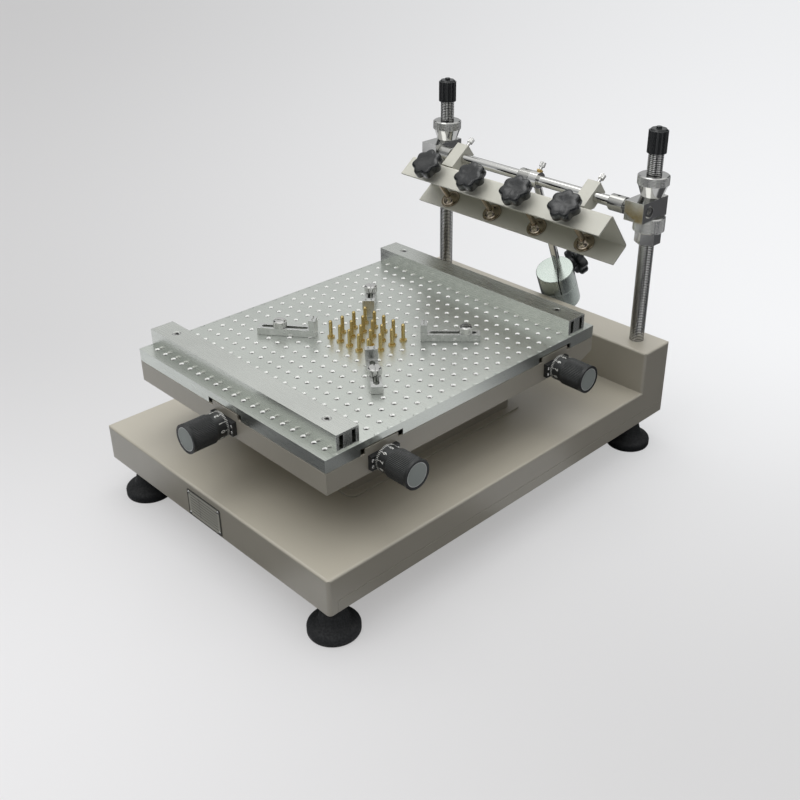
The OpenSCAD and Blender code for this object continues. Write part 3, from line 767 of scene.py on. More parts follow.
# The beige's last factor lightens its up-facing faces as painted light from above.
BEIGE = Paint("beige_enamel", (0.36, 0.335, 0.275), 0.40, edge_color=(0.55, 0.52, 0.44), coat=0.7,
              painted_top_light=1.35)
CREAM = Paint("cream_enamel", (0.62, 0.61, 0.53), 0.38, edge=0.8, edge_color=(0.72, 0.71, 0.63), vary=0.04)
PLASTIC = Paint("black_moulded_plastic", (0.008, 0.01, 0.011), 0.2, edge_color=(0.03, 0.032, 0.034),
                vary=0.2, grain=700.0, coat=0.12)
RUBBER = Finish("black_rubber", (0.006, 0.007, 0.008), 0.7, edge=1.5, edge_color=(0.012, 0.013, 0.015),
                vary=0.25, grain=500.0, bump=0.06, dust=0.02)
ANODISED = Finish("black_anodised", (0.02, 0.021, 0.022), 0.3, edge=0.3, edge_color=(0.16, 0.16, 0.16),
                  vary=0.2, grain=900.0, bump=0.02)
PRINT = Finish("white_print", (0.85, 0.85, 0.8), 0.5, edge=0.05, vary=0.05, grain=900.0, bump=0.01,
               dust=0.0)
ALLOY = Brushed("brushed_alloy", (0.66, 0.68, 0.64), 0.26, edge=0.35, edge_color=(0.9, 0.91, 0.89),
                vary=0.06, grain=60.0, bump=0.03)
PLATE = Perforated("perforated_alloy", (0.66, 0.69, 0.645), 0.3, edge=0.35, edge_color=(0.9, 0.91, 0.89),
                   vary=0.05, grain=60.0, bump=0.02)
CAST = Metal("cast_alloy", (0.66, 0.67, 0.65), 0.3, edge=0.4, edge_color=(0.85, 0.85, 0.84), vary=0.08,
             grain=600.0, bump=0.02)
STEEL = Metal("machined_steel", (0.46, 0.46, 0.44), 0.2, edge_color=(0.8, 0.8, 0.78), grain=500.0,
              bump=0.008)
CHROME = Metal("nickel_plate", (0.66, 0.66, 0.64), 0.1, edge=0.35, edge_color=(0.9, 0.9, 0.89), vary=0.05)
NICKEL = Metal("warm_nickel", (0.42, 0.36, 0.28), 0.1, edge_color=(0.8, 0.74, 0.64))
BRASS = Metal("turned_brass", (0.62, 0.48, 0.21), 0.2, edge=0.25, edge_color=(0.95, 0.82, 0.5), grain=700.0,
              bump=0.006)
SCREWS = Slotted("slotted_screws", CHROME.color, 0.2, vary=0.05)
BANDED_SCREW = Banded("plated_screw_brass_nut", CHROME.color, 0.14, edge=0.2, edge_color=CHROME.edge_color,
                      vary=0.05, facing=Facing.HUB_SCREW, band=(9.0, 12.2))
THREADED_STEEL = Threaded("threaded_steel", (0.62, 0.62, 0.60), 0.2, edge=0.2, edge_color=(0.9, 0.9, 0.89),
                          vary=0.08, grain=300.0, dust=0.0)
RULED_PLATE = Ruled("plate_alloy", (0.45, 0.44, 0.38), 0.5, 0.1, edge=0.2, edge_color=(0.6, 0.6, 0.56),
                    grain=50.0, bump=0.03, dust=0.0)
# The grip's light crests are a painted highlight; its light edges are edge wear and also a painted
# highlight.
GRIP = Knurled("black_knurled_grip", (0.022, 0.023, 0.024), 0.34, 0.6, edge=0.2,
               edge_color=(0.14, 0.14, 0.14), vary=0.15, grain=900.0, bump=0.22, count=84.0, pitch=1.05,
               crest_highlight=(0.12, 0.125, 0.12))
NUT = Knurled("knurled_nut", (0.62, 0.62, 0.60), 0.12, edge_color=(0.95, 0.95, 0.94), grain=600.0, bump=0.3,
              count=54.0, pitch=1.6)
FACE = Disc("turned_grey_disc", (0.33, 0.36, 0.34), 0.42, 0.3, edge_color=(0.8, 0.8, 0.79), vary=0.05,
            grain=24.0, bump=0.015)
WEIGHT = Turned("turned_weight", (0.36, 0.40, 0.37), 0.26, edge=0.5, edge_color=(0.85, 0.86, 0.84),
                vary=0.05, grain=18.0, bump=0.02, facing=Facing.WEIGHT)


# Meshes

WELD = 1e-7  # metres


def stand(name: str, data: Any, place: Sequence[float] = (0.0, 0.0, 0.0),
          turn: Optional[Quaternion] = None) -> bpy.types.Object:
    """Puts data in the scene as an object.

    Args:
        name: the object's name.
        data: its mesh, text, lamp or camera.
        place: its place, in metres.
        turn: its rotation, where it has one.

    Returns:
        The new object.
    """
    made = bpy.data.objects.new(name, data)
    bpy.context.scene.collection.objects.link(made)
    made.location = place
    if turn:
        made.rotation_mode = "QUATERNION"
        made.rotation_quaternion = turn
    return made


def evaluated(made: bpy.types.Object) -> bpy.types.Mesh:
    """A plain mesh of an object as it is shown, with its modifier or as text."""
    bpy.context.view_layer.update()
    return bpy.data.meshes.new_from_object(made.evaluated_get(bpy.context.evaluated_depsgraph_get()))


def piece(name: str, points: Sequence[Vector], faces: Sequence[Sequence[int]], finish: bpy.types.Material,
          angle: float = 35.0) -> bpy.types.Object:
    """Makes a mesh object at the origin, with its place in its mesh.

    Args:
        name: the piece's name.
        points: corners in metres, in the row frame.
        faces: corner numbers of each face.
        finish: the material.
        angle: edges sharper than this stay sharp, in degrees.

    Returns:
        The new object.
    """
    mesh = bpy.data.meshes.new(name)
    mesh.from_pydata([tuple(p) for p in points], [], [tuple(f) for f in faces])
    work = bmesh.new()
    work.from_mesh(mesh)
    bmesh.ops.remove_doubles(work, verts=work.verts, dist=WELD)
    bmesh.ops.recalc_face_normals(work, faces=work.faces)
    work.to_mesh(mesh)
    work.free()
    mesh.materials.append(finish)
    mesh.polygons.foreach_set("use_smooth", [True] * len(mesh.polygons))
    mesh.set_sharp_from_angle(angle=math.radians(angle))
    return stand(name, mesh)


@dataclass
class Solid:
    """Points and faces that are gathered before they become one piece."""

    points: list[Vector] = field(default_factory=list)
    faces: list[tuple[int, ...]] = field(default_factory=list)

    def rings(self, rings: Sequence[Sequence[Vector]], closed: bool = True) -> None:
        """Adds a skin over rings of equal count.

        Args:
            rings: the rings in order; each one goes all the way round.
            closed: caps the first and the last ring.
        """
        start, count = len(self.points), len(rings[0])
        for ring in rings:
            self.points.extend(ring)
        for k in range(len(rings) - 1):
            for j in range(count):
                a, b = start + k * count + j, start + k * count + (j + 1) % count
                self.faces.append((a, b, b + count, a + count))
        if closed:
            self.faces.append(tuple(range(start + count - 1, start - 1, -1)))
            last = start + (len(rings) - 1) * count
            self.faces.append(tuple(range(last, last + count)))

    def lathe(self, profile: Sequence[tuple[float, float]], frame_at: Matrix, count: int = 40,
              wave: Optional[Callable[[float], float]] = None) -> None:
        """Adds a turned solid.

        Args:
            profile: radius and height of each ring, in millimetres.
            frame_at: its place, with the axis along the matrix's Z.
            count: corners round it.
            wave: an extra factor on the radius at an angle, for lobes.
        """
        made = []
        for radius, level in profile:
            ring = []
            for j in range(count):
                a = 2 * math.pi * j / count
                r = radius * (wave(a) if wave else 1.0)
                ring.append(frame_at @ (Vector((r * math.cos(a), r * math.sin(a), level)) * MM))
            made.append(ring)
        self.rings(made)


def turned_frame(centre: Vector, rotation: Matrix) -> Matrix:
    """A matrix with its origin at a point in the row frame.

    Args:
        centre: the origin, in metres.
        rotation: the turn about it.

    Returns:
        The combined matrix.
    """
    return Matrix.Translation(centre) @ rotation.to_4x4()


def dress(finish: bpy.types.Material, *names: str) -> None:
    """Gives CAD nodes their material.

    Args:
        finish: the material.
        names: the nodes.
    """
    for name in names:
        mesh = NODES[name].data
        mesh.materials.clear()
        mesh.materials.append(finish)


# Geometry node trees


def turned(g: Graph, euler: Socket) -> Socket:
    """A rotation from Euler angles."""
    return g.add("FunctionNodeEulerToRotation", Euler=euler).outputs[0]


def moved(g: Graph, shape: Socket, **way: Any) -> Socket:
    """A shape after one translation or rotation."""
    return g.add("GeometryNodeTransform", Geometry=shape, **way).outputs[0]


def spread(g: Graph, i: Sockets, shape: Socket, smooth: Optional[bool] = None, **size: Socket) -> Sockets:
    """Ends a tree: real copies of a shape at each point of the input, with the material.

    Args:
        g: the tree.
        i: its inputs.
        shape: what is copied.
        smooth: shades all faces smooth or flat; None leaves them.
        size: Scale, where the copies are scaled.

    Returns:
        The finished geometry.
    """
    copies = g.add("GeometryNodeInstanceOnPoints", Points=i["Points"], Instance=shape,
                   Rotation=turned(g, i["Rotation"]), **size).outputs[0]
    real = g.add("GeometryNodeRealizeInstances", Geometry=copies).outputs[0]
    if smooth is not None:
        real = g.add("GeometryNodeSetShadeSmooth", _0=real, Shade_Smooth=smooth).outputs[0]
    return {"Geometry": g.add("GeometryNodeSetMaterial", Geometry=real, Material=i["Material"]).outputs[0]}


def thread_tree(g: Graph, i: Sockets) -> Sockets:
    """A square helical ridge round a core, repeated at each point of the input.

    Args:
        g: the tree.
        i: its inputs.

    Returns:
        The finished geometry.
    """
    root = g.minus(i["Radius"], g.times(i["Depth"], math.sqrt(0.5)))
    turns = g.over(i["Length"], i["Pitch"])
    spiral = g.add("GeometryNodeCurveSpiral", Resolution=i["Steps"], Rotations=turns, Start_Radius=root,
                   End_Radius=root, Height=i["Length"]).outputs[0]
    upright = g.add("GeometryNodeSetCurveNormal", {"mode": "Z_UP"}, Curve=spiral).outputs[0]
    ridge = g.add("GeometryNodeCurvePrimitiveCircle", {"mode": "RADIUS"}, Resolution=4, Radius=i["Depth"])
    ridge = moved(g, ridge.outputs[0], Rotation=(0.0, 0.0, math.pi / 4))
    wound = g.add("GeometryNodeCurveToMesh", Curve=upright, Profile_Curve=ridge, Fill_Caps=True).outputs[0]
    core = g.add("GeometryNodeMeshCylinder", {"fill_type": "NGON"}, Vertices=32, Radius=root,
                 Depth=i["Length"]).outputs["Mesh"]
    core = moved(g, core, Translation=g.join(Z=g.times(i["Length"], 0.5)))
    both = g.add("GeometryNodeJoinGeometry")
    for part in (wound, core):
        g.tree.links.new(part, both.inputs[0])
    return spread(g, i, both.outputs[0], False)


def stud_tree(g: Graph, i: Sockets) -> Sockets:
    """Low domed rivet heads, one at each point of the input.

    Args:
        g: the tree.
        i: its inputs.

    Returns:
        The finished geometry.
    """
    ball = g.add("GeometryNodeMeshUVSphere", Segments=20, Rings=10, Radius=i["Radius"]).outputs["Mesh"]
    return spread(g, i, ball, True, Scale=g.join(X=1.0, Y=1.0, Z=i["Dome"]))


def tick_tree(g: Graph, i: Sockets) -> Sockets:
    """Scale lines round a ring, with every fifth one longer, at each point of the input.

    Args:
        g: the tree.
        i: its inputs.

    Returns:
        The finished geometry.
    """
    ring = g.add("GeometryNodeMeshCircle", Vertices=i["Count"], Radius=i["Radius"]).outputs[0]
    index = g.add("GeometryNodeInputIndex").outputs[0]
    fifth = g.below(g.math("MODULO", index, 5.0), 0.5)
    size = g.join(X=1.0, Y=1.0, Z=g.plus(g.times(fifth, 0.9), 1.0))
    about = g.join(Z=g.times(index, g.over(2 * math.pi, i["Count"])))
    line = g.add("GeometryNodeMeshCube", Size=i["Line"]).outputs["Mesh"]
    line = moved(g, line, Translation=i["Shift"])
    ticks = g.add("GeometryNodeInstanceOnPoints", Points=ring, Instance=line, Rotation=turned(g, about),
                  Scale=size).outputs[0]
    return spread(g, i, ticks)


@dataclass
class Repeats:
    """A Geometry Nodes tree that puts copies of one small shape on given points."""

    name: str
    sizes: Sequence[tuple[str, str, Any]]
    build: Callable[[Graph, Sockets], Sockets]

    def __post_init__(self) -> None:
        """Builds the tree."""
        inputs = [("Points", "Geometry", None), ("Rotation", "Vector", None),
                  ("Material", "Material", None), *self.sizes]
        self.tree = group(self.name, inputs, [("Geometry", "Geometry")], self.build, "GeometryNodeTree")

    def make(self, name: str, points: Sequence[Vector], rotation: Vector, finish: bpy.types.Material,
             **sizes: Any) -> bpy.types.Object:
        """Makes one piece.

        Args:
            name: the piece's name.
            points: where the copies stand, in the row frame.
            rotation: how each copy is turned, as Euler angles.
            finish: the material.
            sizes: the tree's other inputs, with _ for a space.

        Returns:
            A plain mesh object at the origin.
        """
        mesh = bpy.data.meshes.new(name + "_points")
        mesh.from_pydata([tuple(p) for p in points], [], [])
        seed = stand(name, mesh)
        modifier = seed.modifiers.new("Repeats", "NODES")
        modifier.node_group = self.tree
        given = {"Rotation": tuple(rotation), "Material": finish,
                 **{key.replace("_", " "): value for key, value in sizes.items()}}
        for item in self.tree.interface.items_tree:
            if item.item_type == "SOCKET" and item.in_out == "INPUT" and item.name in given:
                modifier[item.identifier] = given[item.name]
        result = evaluated(seed)
        seed.modifiers.remove(modifier)
        result.name = name
        result.polygons.foreach_set("material_index", [0] * len(result.polygons))
        result.materials.clear()
        result.materials.append(finish)
        seed.data = result
        return seed


THREAD = Repeats("Thread", [("Radius", "Float", 0.008), ("Depth", "Float", 0.001),
                            ("Pitch", "Float", 0.002), ("Length", "Float", 0.1), ("Steps", "Int", 24)],
                 thread_tree)
STUDS = Repeats("Studs", [("Radius", "Float", 0.002), ("Dome", "Float", 0.5)], stud_tree)
TICKS = Repeats("Scale Lines", [("Count", "Int", 50), ("Radius", "Float", 0.0135),
                                ("Line", "Vector", None), ("Shift", "Vector", None)], tick_tree)


# Sub-assemblies


@dataclass
class Base:
    """The sheet-metal base with its feet, posts and bare data plate."""

    post_radius: float = 8.4
    post_low: float = 110.5
    post_height: float = 254.4
    thread_depth: float = 0.78
    thread_pitch: float = 2.0
    thread_steps: int = 26
    plate_middle: Point = (-5.0, -259.0, 54.9)
    plate_size: tuple[float, float] = (56.0, 31.0)
    plate_corner: float = 1.5
    plate_border: tuple[float, float] = (5.0, 3.5)
    plate_rise: float = 0.8
    rivet_inset: float = 3.2
    rivet_radius: float = 1.7
    rivet_dome: float = 0.5
    foot_places: tuple[tuple[float, float], ...] = ((-148.0, -239.5), (166.0, -239.5), (-148.0, 221.5),
                                                    (166.0, 221.5))

    def build(self) -> None:
        """Dresses the nodes and adds the threads and the plate."""
        dress(BEIGE.material(), "base_case", "bottom_pan", "pedestal", "tray")
        self.feet(RUBBER.material())
        dress(STEEL.material(), "foot_studs", "post_nuts", "posts")
        dress(PLASTIC.material(), "post_caps")
        dress(ANODISED.material(), "knob_flanges")
        dress(CHROME.material(), "flange_screws")
        self.posts()
        self.plate()

    def feet(self, look: bpy.types.Material) -> None:
        """Turns the four domed rubber feet.

        Args:
            look: the rubber.
        """
        profile = [(23.8, 0.0), (25.0, 0.5), (25.5, 1.6), (25.5, 7.0), (25.1, 8.2), (23.8, 9.8),
                   (21.0, 11.4), (17.6, 12.6), (15.6, 13.8), (14.4, 16.5), (10.6, 30.6), (9.8, 31.6),
                   (5.4, 31.7)]
        solid = Solid()
        for x, y in self.foot_places:
            solid.lathe(profile, turned_frame(at(x, y, 0.0), Matrix.Identity(3)), 56)
        made = piece("rubber_feet", solid.points, solid.faces, look, 50)
        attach(made, "base")
        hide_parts("feet")

    def posts(self) -> None:
        """Winds a thread on both posts."""
        spots = [at(s * POST_SPACING / 2, POST_Y, self.post_low) for s in (-1, 1)]
        look = replace(THREADED_STEEL, centre=at(0.0, POST_Y, 0.0), root=self.post_radius - 0.45,
                       crest=self.post_radius - 0.1, apart=POST_SPACING / 2)
        made = THREAD.make("post_threads", spots, Vector(), look.material(), Radius=self.post_radius * MM,
                           Depth=self.thread_depth * MM, Pitch=self.thread_pitch * MM,
                           Length=self.post_height * MM, Steps=self.thread_steps)
        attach(made, "base")
        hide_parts("posts")
        log.info("post_threads: %d faces", len(made.data.polygons))

    def plate(self) -> None:
        """Makes the bare plate on the front skirt, with a raised border and four rivets."""
        x, y, z = self.plate_middle
        w, h = self.plate_size
        half = (w / 2 - self.plate_border[0], h / 2 - self.plate_border[1])
        look = replace(RULED_PLATE, centre=at(x, y, z), half=half, outer=(w / 2, h / 2)).material()
        solid = Solid()
        levels = [(0.0, 0.0), (0.0, 0.7), (0.15, self.plate_rise), (1.5, self.plate_rise), (1.7, 0.62)]
        rings = []
        for inset, rise in levels:
            ring = []
            for sx, sz, turn in ((1, -1, 270), (1, 1, 0), (-1, 1, 90), (-1, -1, 180)):
                radius = max(self.plate_corner - inset, 0.3)
                for step in range(5):
                    a = math.radians(turn + step * 22.5)
                    ring.append(at(x + sx * (w / 2 - inset - radius) + radius * math.cos(a), y - rise,
                                   z + sz * (h / 2 - inset - radius) + radius * math.sin(a)))
            rings.append(ring)
        solid.rings(rings)
        made = piece("data_plate_bare", solid.points, solid.faces, look, 20)
        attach(made, "base")
        spots = [at(x + sx * (w / 2 - self.rivet_inset), y - self.plate_rise,
                    z + sz * (h / 2 - self.rivet_inset)) for sx in (-1, 1) for sz in (-1, 1)]
        rivets = STUDS.make("plate_rivets", spots, Vector(Facing.FRONT.value), CHROME.material(),
                            Radius=self.rivet_radius * MM, Dome=self.rivet_dome)
        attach(rivets, "base")


@dataclass
class AdjustKnob:
    """A knurled fine-adjustment knob with a scale ring and an end disc."""

    node: str
    body: str
    origin: Point
    facing: Facing
    ring_radius: float = 13.5
    ring_start: float = 5.3
    ticks: int = 50
    tick_size: Point = (0.1, 0.45, 2.4)
    tick_shift: float = 1.1
    digit_size: float = 6.2
    digit_depth: float = 0.05
    digit_gap: float = 0.03
    digit_rise: float = 5.2

    def build(self) -> None:
        """Dresses the knob and marks its scale."""
        centre = at(*self.origin)
        for look, node in ((GRIP, self.node), (FACE, self.node + "_face")):
            dress(replace(look, centre=centre, facing=self.facing, suffix="_" + self.body).material(), node)
        look = PRINT.material()
        self.lines(centre, look)
        self.digits(centre, look)

    def lines(self, centre: Vector, look: bpy.types.Material) -> None:
        """Adds scale lines on the ring.

        Args:
            centre: the knob's origin in the row frame.
            look: the print.
        """
        spot = centre + self.facing.matrix() @ Vector((0, 0, self.ring_start * MM))
        ticks = TICKS.make("scale_lines_" + self.body, [spot], Vector(self.facing.value), look,
                           Count=self.ticks, Radius=self.ring_radius * MM,
                           Line=tuple(d * MM for d in self.tick_size),
                           Shift=(0.0, 0.0, self.tick_shift * MM))
        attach(ticks, self.body)

    def digits(self, centre: Vector, look: bpy.types.Material) -> None:
        """Bends the plain numbers 0 to 9 round the ring.

        Args:
            centre: the knob's origin in the row frame.
            look: the print.
        """
        solid = Solid()
        turn = self.facing.matrix()
        for step in range(10):
            font = bpy.data.curves.new("digit", "FONT")
            font.body = str(step)
            font.size = self.digit_size * MM
            font.align_x = "CENTER"
            font.extrude = self.digit_depth * MM
            font.resolution_u = 3
            holder = stand("digit", font)
            mesh = evaluated(holder)
            start = len(solid.points)
            for v in mesh.vertices:
                a = math.radians(36 * step) + v.co.x / (self.ring_radius * MM)
                r = (self.ring_radius + self.digit_gap) * MM + v.co.z
                up = (self.ring_start + self.digit_rise) * MM + v.co.y
                solid.points.append(centre + turn @ Vector((r * math.cos(a), r * math.sin(a), up)))
            solid.faces.extend(tuple(start + k for k in p.vertices) for p in mesh.polygons)
            bpy.data.objects.remove(holder)
            bpy.data.meshes.remove(mesh)
            bpy.data.curves.remove(font)
        digits = piece("scale_digits_" + self.body, solid.points, solid.faces, look, 30)
        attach(digits, self.body)


@dataclass
class Table:
    """The perforated table with its bars, pins and clamps."""

    holes_middle: Point = (0.0, -34.97, 172.3)
    screws_middle: Point = (0.0, -36.3, 190.0)

    def build(self) -> None:
        """Dresses the table's nodes."""
        across = ALLOY.material()
        dress(replace(PLATE, centre=at(*self.holes_middle)).material(), "perforated_table")
        dress(across, "bar_front", "bar_rear", "saddle", "cross_slide")
        dress(BRASS.material(), "locating_pins")
        dress(replace(SCREWS, centre=at(*self.screws_middle)).material(), "bar_screws")
        clamp, thumb = CAST.material(), CHROME.material()
        for side in ("right", "left", "front", "rear"):
            dress(clamp, "clamp_" + side)
            dress(thumb, "clamp_screw_" + side)


@dataclass
class Carriage:
    """What rises on the posts: rod, blocks, collars and the knurled nuts."""

    block_low: float = 279.8
    knurl_radius: float = 16.7

    def build(self) -> None:
        """Dresses the carriage's nodes."""
        dress(CHROME.material(), "cross_rod", "end_blocks")
        dress(STEEL.material(), "rod_end_screws", "rod_collars")
        for side, name in ((-1, "left"), (1, "right")):
            look = replace(NUT, inner=self.knurl_radius, suffix="_" + name,
                           centre=at(side * POST_SPACING / 2, POST_Y, self.block_low))
            dress(look.material(), "adjuster_" + name, "lock_" + name)


@dataclass
class StarKnob:
    """A black moulded star knob, lofted with rounded lobes."""

    node: str
    body: str
    frame_at: Matrix
    radius: float = 19.5
    height: float = 16.5
    lobes: int = 7
    screw: Optional[Point] = None

    def build(self, look: bpy.types.Material, metal: bpy.types.Material) -> None:
        """Makes the knob and, where it has one, its screw.

        Args:
            look: the plastic.
            metal: the screw's finish.
        """
        solid = Solid()
        r, h = self.radius, self.height
        solid.lathe([(0.40 * r, 0.0), (0.42 * r, 0.04 * h), (0.42 * r, 0.26 * h)], self.frame_at, 60)

        def wave(a: float) -> float:
            """Rounded lobes with hollow flanks."""
            turn = 0.5 + 0.5 * math.cos(self.lobes * a)
            return 0.83 + 0.17 * turn ** 0.75

        rows = [(0.80, 0.24), (0.90, 0.25), (0.97, 0.29), (1.0, 0.36), (1.0, 0.80), (0.985, 0.88),
                (0.94, 0.94), (0.86, 0.98), (0.72, 1.0), (0.5, 0.985), (0.3, 0.97), (0.12, 0.965)]
        solid.lathe([(r * a, h * b) for a, b in rows], self.frame_at, 90, wave)
        made = piece("star_knob_" + self.node, solid.points, solid.faces, look, 50)
        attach(made, self.body)
        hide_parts(self.node)
        if self.screw:
            low, high, radius = self.screw
            rod = Solid()
            rod.lathe([(radius - 0.4, low), (radius, low + 0.4), (radius, high - 0.1),
                       (radius - 0.1, high)], self.frame_at, 32)
            shank = piece("shank_" + self.node, rod.points, rod.faces, metal)
            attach(shank, self.body)


@dataclass
class Head:
    """The swinging stencil holder with its arms, spindles, feet and star knobs."""

    first_x: float = -125.0
    pitch: float = 70.5
    spindle_y: float = -35.9
    foot_face: float = -43.95
    star_low: float = 14.75

    def frame_at(self, k: int) -> Matrix:
        """The frame of a spindle, with Z along it and its origin level with the rod.

        Args:
            k: the spindle's number, from 0.

        Returns:
            The frame.
        """
        turn = Facing.HEAD.matrix()
        spot = at(self.first_x + k * self.pitch, ROD_Y, ROD_Z) + turn @ Vector((0, self.spindle_y, 0)) * MM
        return turned_frame(spot, turn)

    def foot(self, k: int, look: bpy.types.Material) -> None:
        """Turns one flared swivel foot.

        Args:
            k: the spindle's number.
            look: the finish.
        """
        profile = [(12.0, 0.0), (12.5, 0.35), (12.5, 1.25), (12.15, 1.6), (10.9, 1.65), (10.4, 1.3),
                   (8.9, 1.45), (7.4, 2.5), (6.2, 4.3), (5.3, 6.3), (4.8, 7.9), (4.4, 8.5), (3.6, 8.5)]
        solid = Solid()
        solid.lathe(profile, self.frame_at(k) @ Matrix.Translation((0, 0, self.foot_face * MM)), 56)
        made = piece(f"swivel_foot_{k + 1}", solid.points, solid.faces, look, 40)
        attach(made, f"press_{k + 1}")
        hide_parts(f"press_{k + 1}")

    def build(self) -> None:
        """Dresses the head and replaces feet and star knobs."""
        dress(CREAM.material(), "stencil_holder", "hanger_arms")
        thumb, nickel, plastic = CHROME.material(), NICKEL.material(), PLASTIC.material()
        dress(thumb, "arm_screw_left", "arm_screw_right")
        for k in range(4):
            frame_at = self.frame_at(k)
            dress(nickel, f"spindle_{k + 1}")
            self.foot(k, nickel)
            knob = StarKnob(f"star_{k + 1}", f"star_{k + 1}",
                            frame_at @ Matrix.Translation((0, 0, self.star_low * MM)))
            knob.build(plastic, nickel)


@dataclass
class Counterweight:
    """The hanging rod with its hub, the split weight and the weight's hand knob."""

    hub_x: float = 9.6
    drop: float = 141.0
    knob_level: float = 12.0
    knob_turn: float = 76.0
    knob_seat: float = 19.5
    knob_height: float = 15.0
    knob_screw: Point = (-14.4, 0.2, 3.0)

    def build(self) -> None:
        """Dresses the counterweight and replaces its knob."""
        lean, aside = WEIGHT_LEAN
        tilt = Matrix.Rotation(lean, 3, "X") @ Matrix.Rotation(aside, 3, "Y")
        hub = at(self.hub_x, ROD_Y, ROD_Z)
        low = hub + tilt @ Vector((0, 0, -self.drop)) * MM
        dress(replace(WEIGHT, centre=low).material(), "weight")
        dress(CHROME.material(), "weight_hub")
        dress(replace(BANDED_SCREW, centre=hub).material(), "hub_screw")
        about = Matrix.Rotation(math.radians(self.knob_turn), 3, "Z")
        aim = tilt @ about @ Matrix.Rotation(QUARTER, 3, "Y")
        spot = low + tilt @ Vector((0, 0, -self.knob_level)) * MM
        knob = StarKnob("weight_knob", "weight_knob",
                        turned_frame(spot, aim) @ Matrix.Translation((0, 0, self.knob_seat * MM)),
                        height=self.knob_height, screw=self.knob_screw)
        knob.build(PLASTIC.material(), CHROME.material())


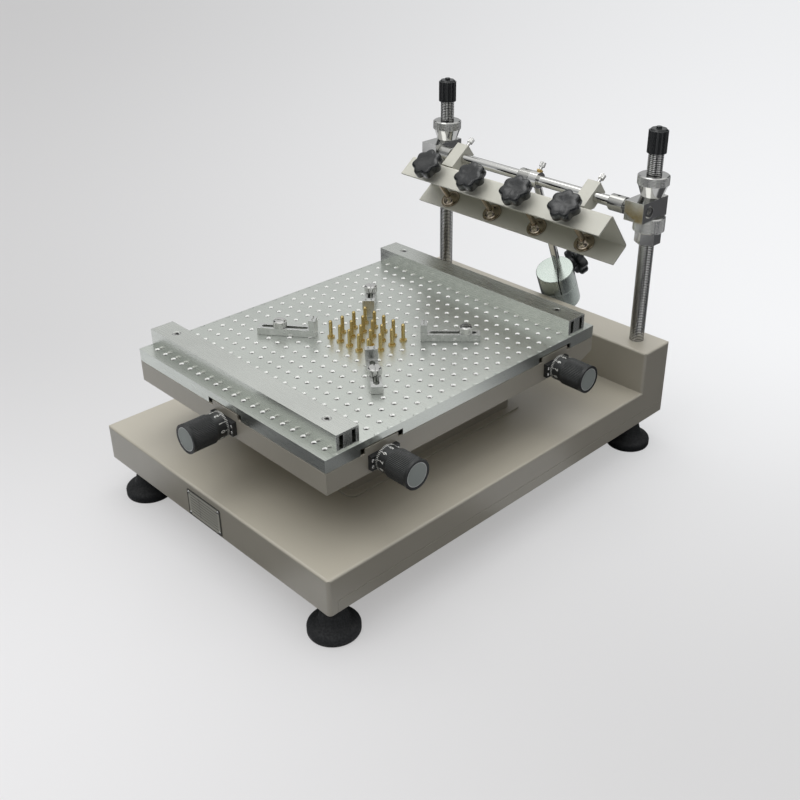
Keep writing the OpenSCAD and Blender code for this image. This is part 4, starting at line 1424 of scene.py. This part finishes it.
@dataclass
class Studio:
    """Floor, world, lamps and camera."""

    lens: float = 46.636
    shift: tuple[float, float] = (-0.04754, -0.02789)
    place: Point = (0.7399, -0.717565, 0.667)
    turn: tuple[float, float, float, float] = (0.795633, 0.472057, 0.191313, 0.327917)
    heading: tuple[float, float] = (0.702, 0.712)
    floor_half: float = 9.0
    lamp_size: float = 1.4
    lamp_aim: Point = (0.0, 0.0, 0.15)

    def camera(self) -> None:
        """Sets the camera at the photograph's place and angle."""
        data = bpy.data.cameras.new("camera")
        data.sensor_width = 36.0
        data.lens = self.lens
        data.shift_x, data.shift_y = self.shift
        bpy.context.scene.camera = stand("camera", data, self.place, Quaternion(self.turn))

    def floor(self) -> None:
        """Makes the pale floor, whose glow for the camera runs from dark to light as in the photograph."""
        look = bpy.data.materials.new("floor")
        look.use_nodes = True
        g = Graph(look.node_tree)
        shader = look.node_tree.nodes["Principled BSDF"]
        part = g.split(g.add("ShaderNodeTexCoord").outputs["Object"])
        rays = g.add("ShaderNodeLightPath").outputs
        turn = g.math("ARCTAN2", part["Y"], part["X"])
        # For glossy rays the floor shows dark and bright bands round the press: painted reflections, not
        # its own colour.
        bands = g.ramp(g.math("SINE", g.plus(g.times(turn, 5.0), 0.6)), -0.3, 0.5)
        mirrored = g.blend(bands, (0.06, 0.06, 0.065), (0.7, 0.7, 0.71))
        bounced = g.blend(rays["Is Glossy Ray"], (0.32, 0.32, 0.32), mirrored)
        g.feed(shader, "Base_Color", g.blend(rays["Is Camera Ray"], bounced, (0.34, 0.34, 0.345)))
        across, along = self.heading
        right = g.plus(g.times(part["X"], along), g.times(part["Y"], across))
        ahead = g.minus(g.times(part["Y"], along), g.times(part["X"], across))
        aside = g.over(right, g.plus(g.size(ahead), 1.3))
        far = g.blend(g.ramp(aside, -0.45, 0.4), (0.27, 0.265, 0.26), (0.55, 0.555, 0.56))
        near = g.blend(g.ramp(aside, -0.25, 0.15), (0.46, 0.455, 0.455), (0.32, 0.315, 0.31))
        glow = g.blend(g.ramp(ahead, -0.5, 0.35), near, far)
        g.feed(shader, "Emission_Color", g.blend(rays["Is Camera Ray"], BLACK, glow))
        g.feed(shader, "Emission_Strength", 1.0)
        g.feed(shader, "Roughness", 0.75)
        half = self.floor_half
        corners = [Vector((x * half, y * half, 0)) for x, y in ((-1, -1), (1, -1), (1, 1), (-1, 1))]
        piece("floor", corners, [(0, 1, 2, 3)], look)

    def world(self) -> None:
        """A pale sky, with darker gaps between bright panels for the metal to mirror."""
        world = bpy.data.worlds.new("studio")
        bpy.context.scene.world = world
        world.use_nodes = True
        world.node_tree.nodes.clear()
        g = Graph(world.node_tree)
        part = g.split(g.add("ShaderNodeTexCoord").outputs["Generated"])
        rays = g.add("ShaderNodeLightPath").outputs
        turn = g.math("ARCTAN2", part["Y"], part["X"])
        panels = g.ramp(g.math("SINE", g.plus(g.times(turn, 3.0), 0.7)), -0.5, 0.3)
        sky = g.blend(g.ramp(part["Z"], 0.1, 0.7), (0.45, 0.46, 0.47), (1.0, 1.0, 1.0))
        bright = g.larger(panels, g.ramp(part["Z"], 0.25, 0.6))
        mirrored = g.blend(bright, (0.05, 0.055, 0.06), sky)
        above = g.blend(g.ramp(part["Z"], 0.2, 0.9), (0.12, 0.125, 0.13), (1.4, 1.41, 1.43))
        side = g.times(g.ramp(part["X"], -0.2, 0.8), g.ramp(part["Z"], 0.8, 0.4))
        above = g.blend(side, above, (0.10, 0.10, 0.105))
        color = g.blend(rays["Is Glossy Ray"], above, mirrored)
        color = g.blend(rays["Is Camera Ray"], color, (0.92, 0.925, 0.925))
        back = g.add("ShaderNodeBackground", Color=color, Strength=0.85)
        end = g.add("ShaderNodeOutputWorld")
        g.tree.links.new(back.outputs[0], end.inputs["Surface"])

    def lamp(self, name: str, place: Point, power: float) -> None:
        """Adds a soft square lamp aimed at the press.

        Args:
            name: the lamp's name.
            place: its place, in metres.
            power: its power, in watts.
        """
        data = bpy.data.lights.new(name, "AREA")
        data.size = self.lamp_size
        data.energy = power
        stand(name, data, place, (Vector(self.lamp_aim) - Vector(place)).to_track_quat("-Z", "Y"))

    def build(self) -> None:
        """Sets up the whole studio."""
        self.camera()
        self.floor()
        self.world()
        self.lamp("ceiling", (-0.5, 0.3, 2.2), 12.0)
        self.lamp("front", (-0.2, -1.4, 2.2), 8.0)
        bpy.context.scene.view_settings.view_transform = "Standard"


def main() -> None:
    """Builds every sub-assembly in order."""
    logging.basicConfig(level=logging.INFO, format="%(name)s: %(message)s")
    Studio().build()
    log.info("studio")
    Base().build()
    log.info("base")
    knobs = (("knob_front", "front_knob", (0, -226.8, 147.8), Facing.FRONT),
             ("knob_side_front", "side_front_knob", (150, -160, 147.8), Facing.RIGHT),
             ("knob_side_rear", "side_rear_knob", (150, 89, 147.8), Facing.RIGHT))
    for node, body, origin, facing in knobs:
        AdjustKnob(node, body, origin, facing).build()
        log.info(node)
    for part in (Table(), Carriage(), Head(), Counterweight()):
        part.build()
        log.info(type(part).__name__.lower())


if __name__ == "__main__":
    main()
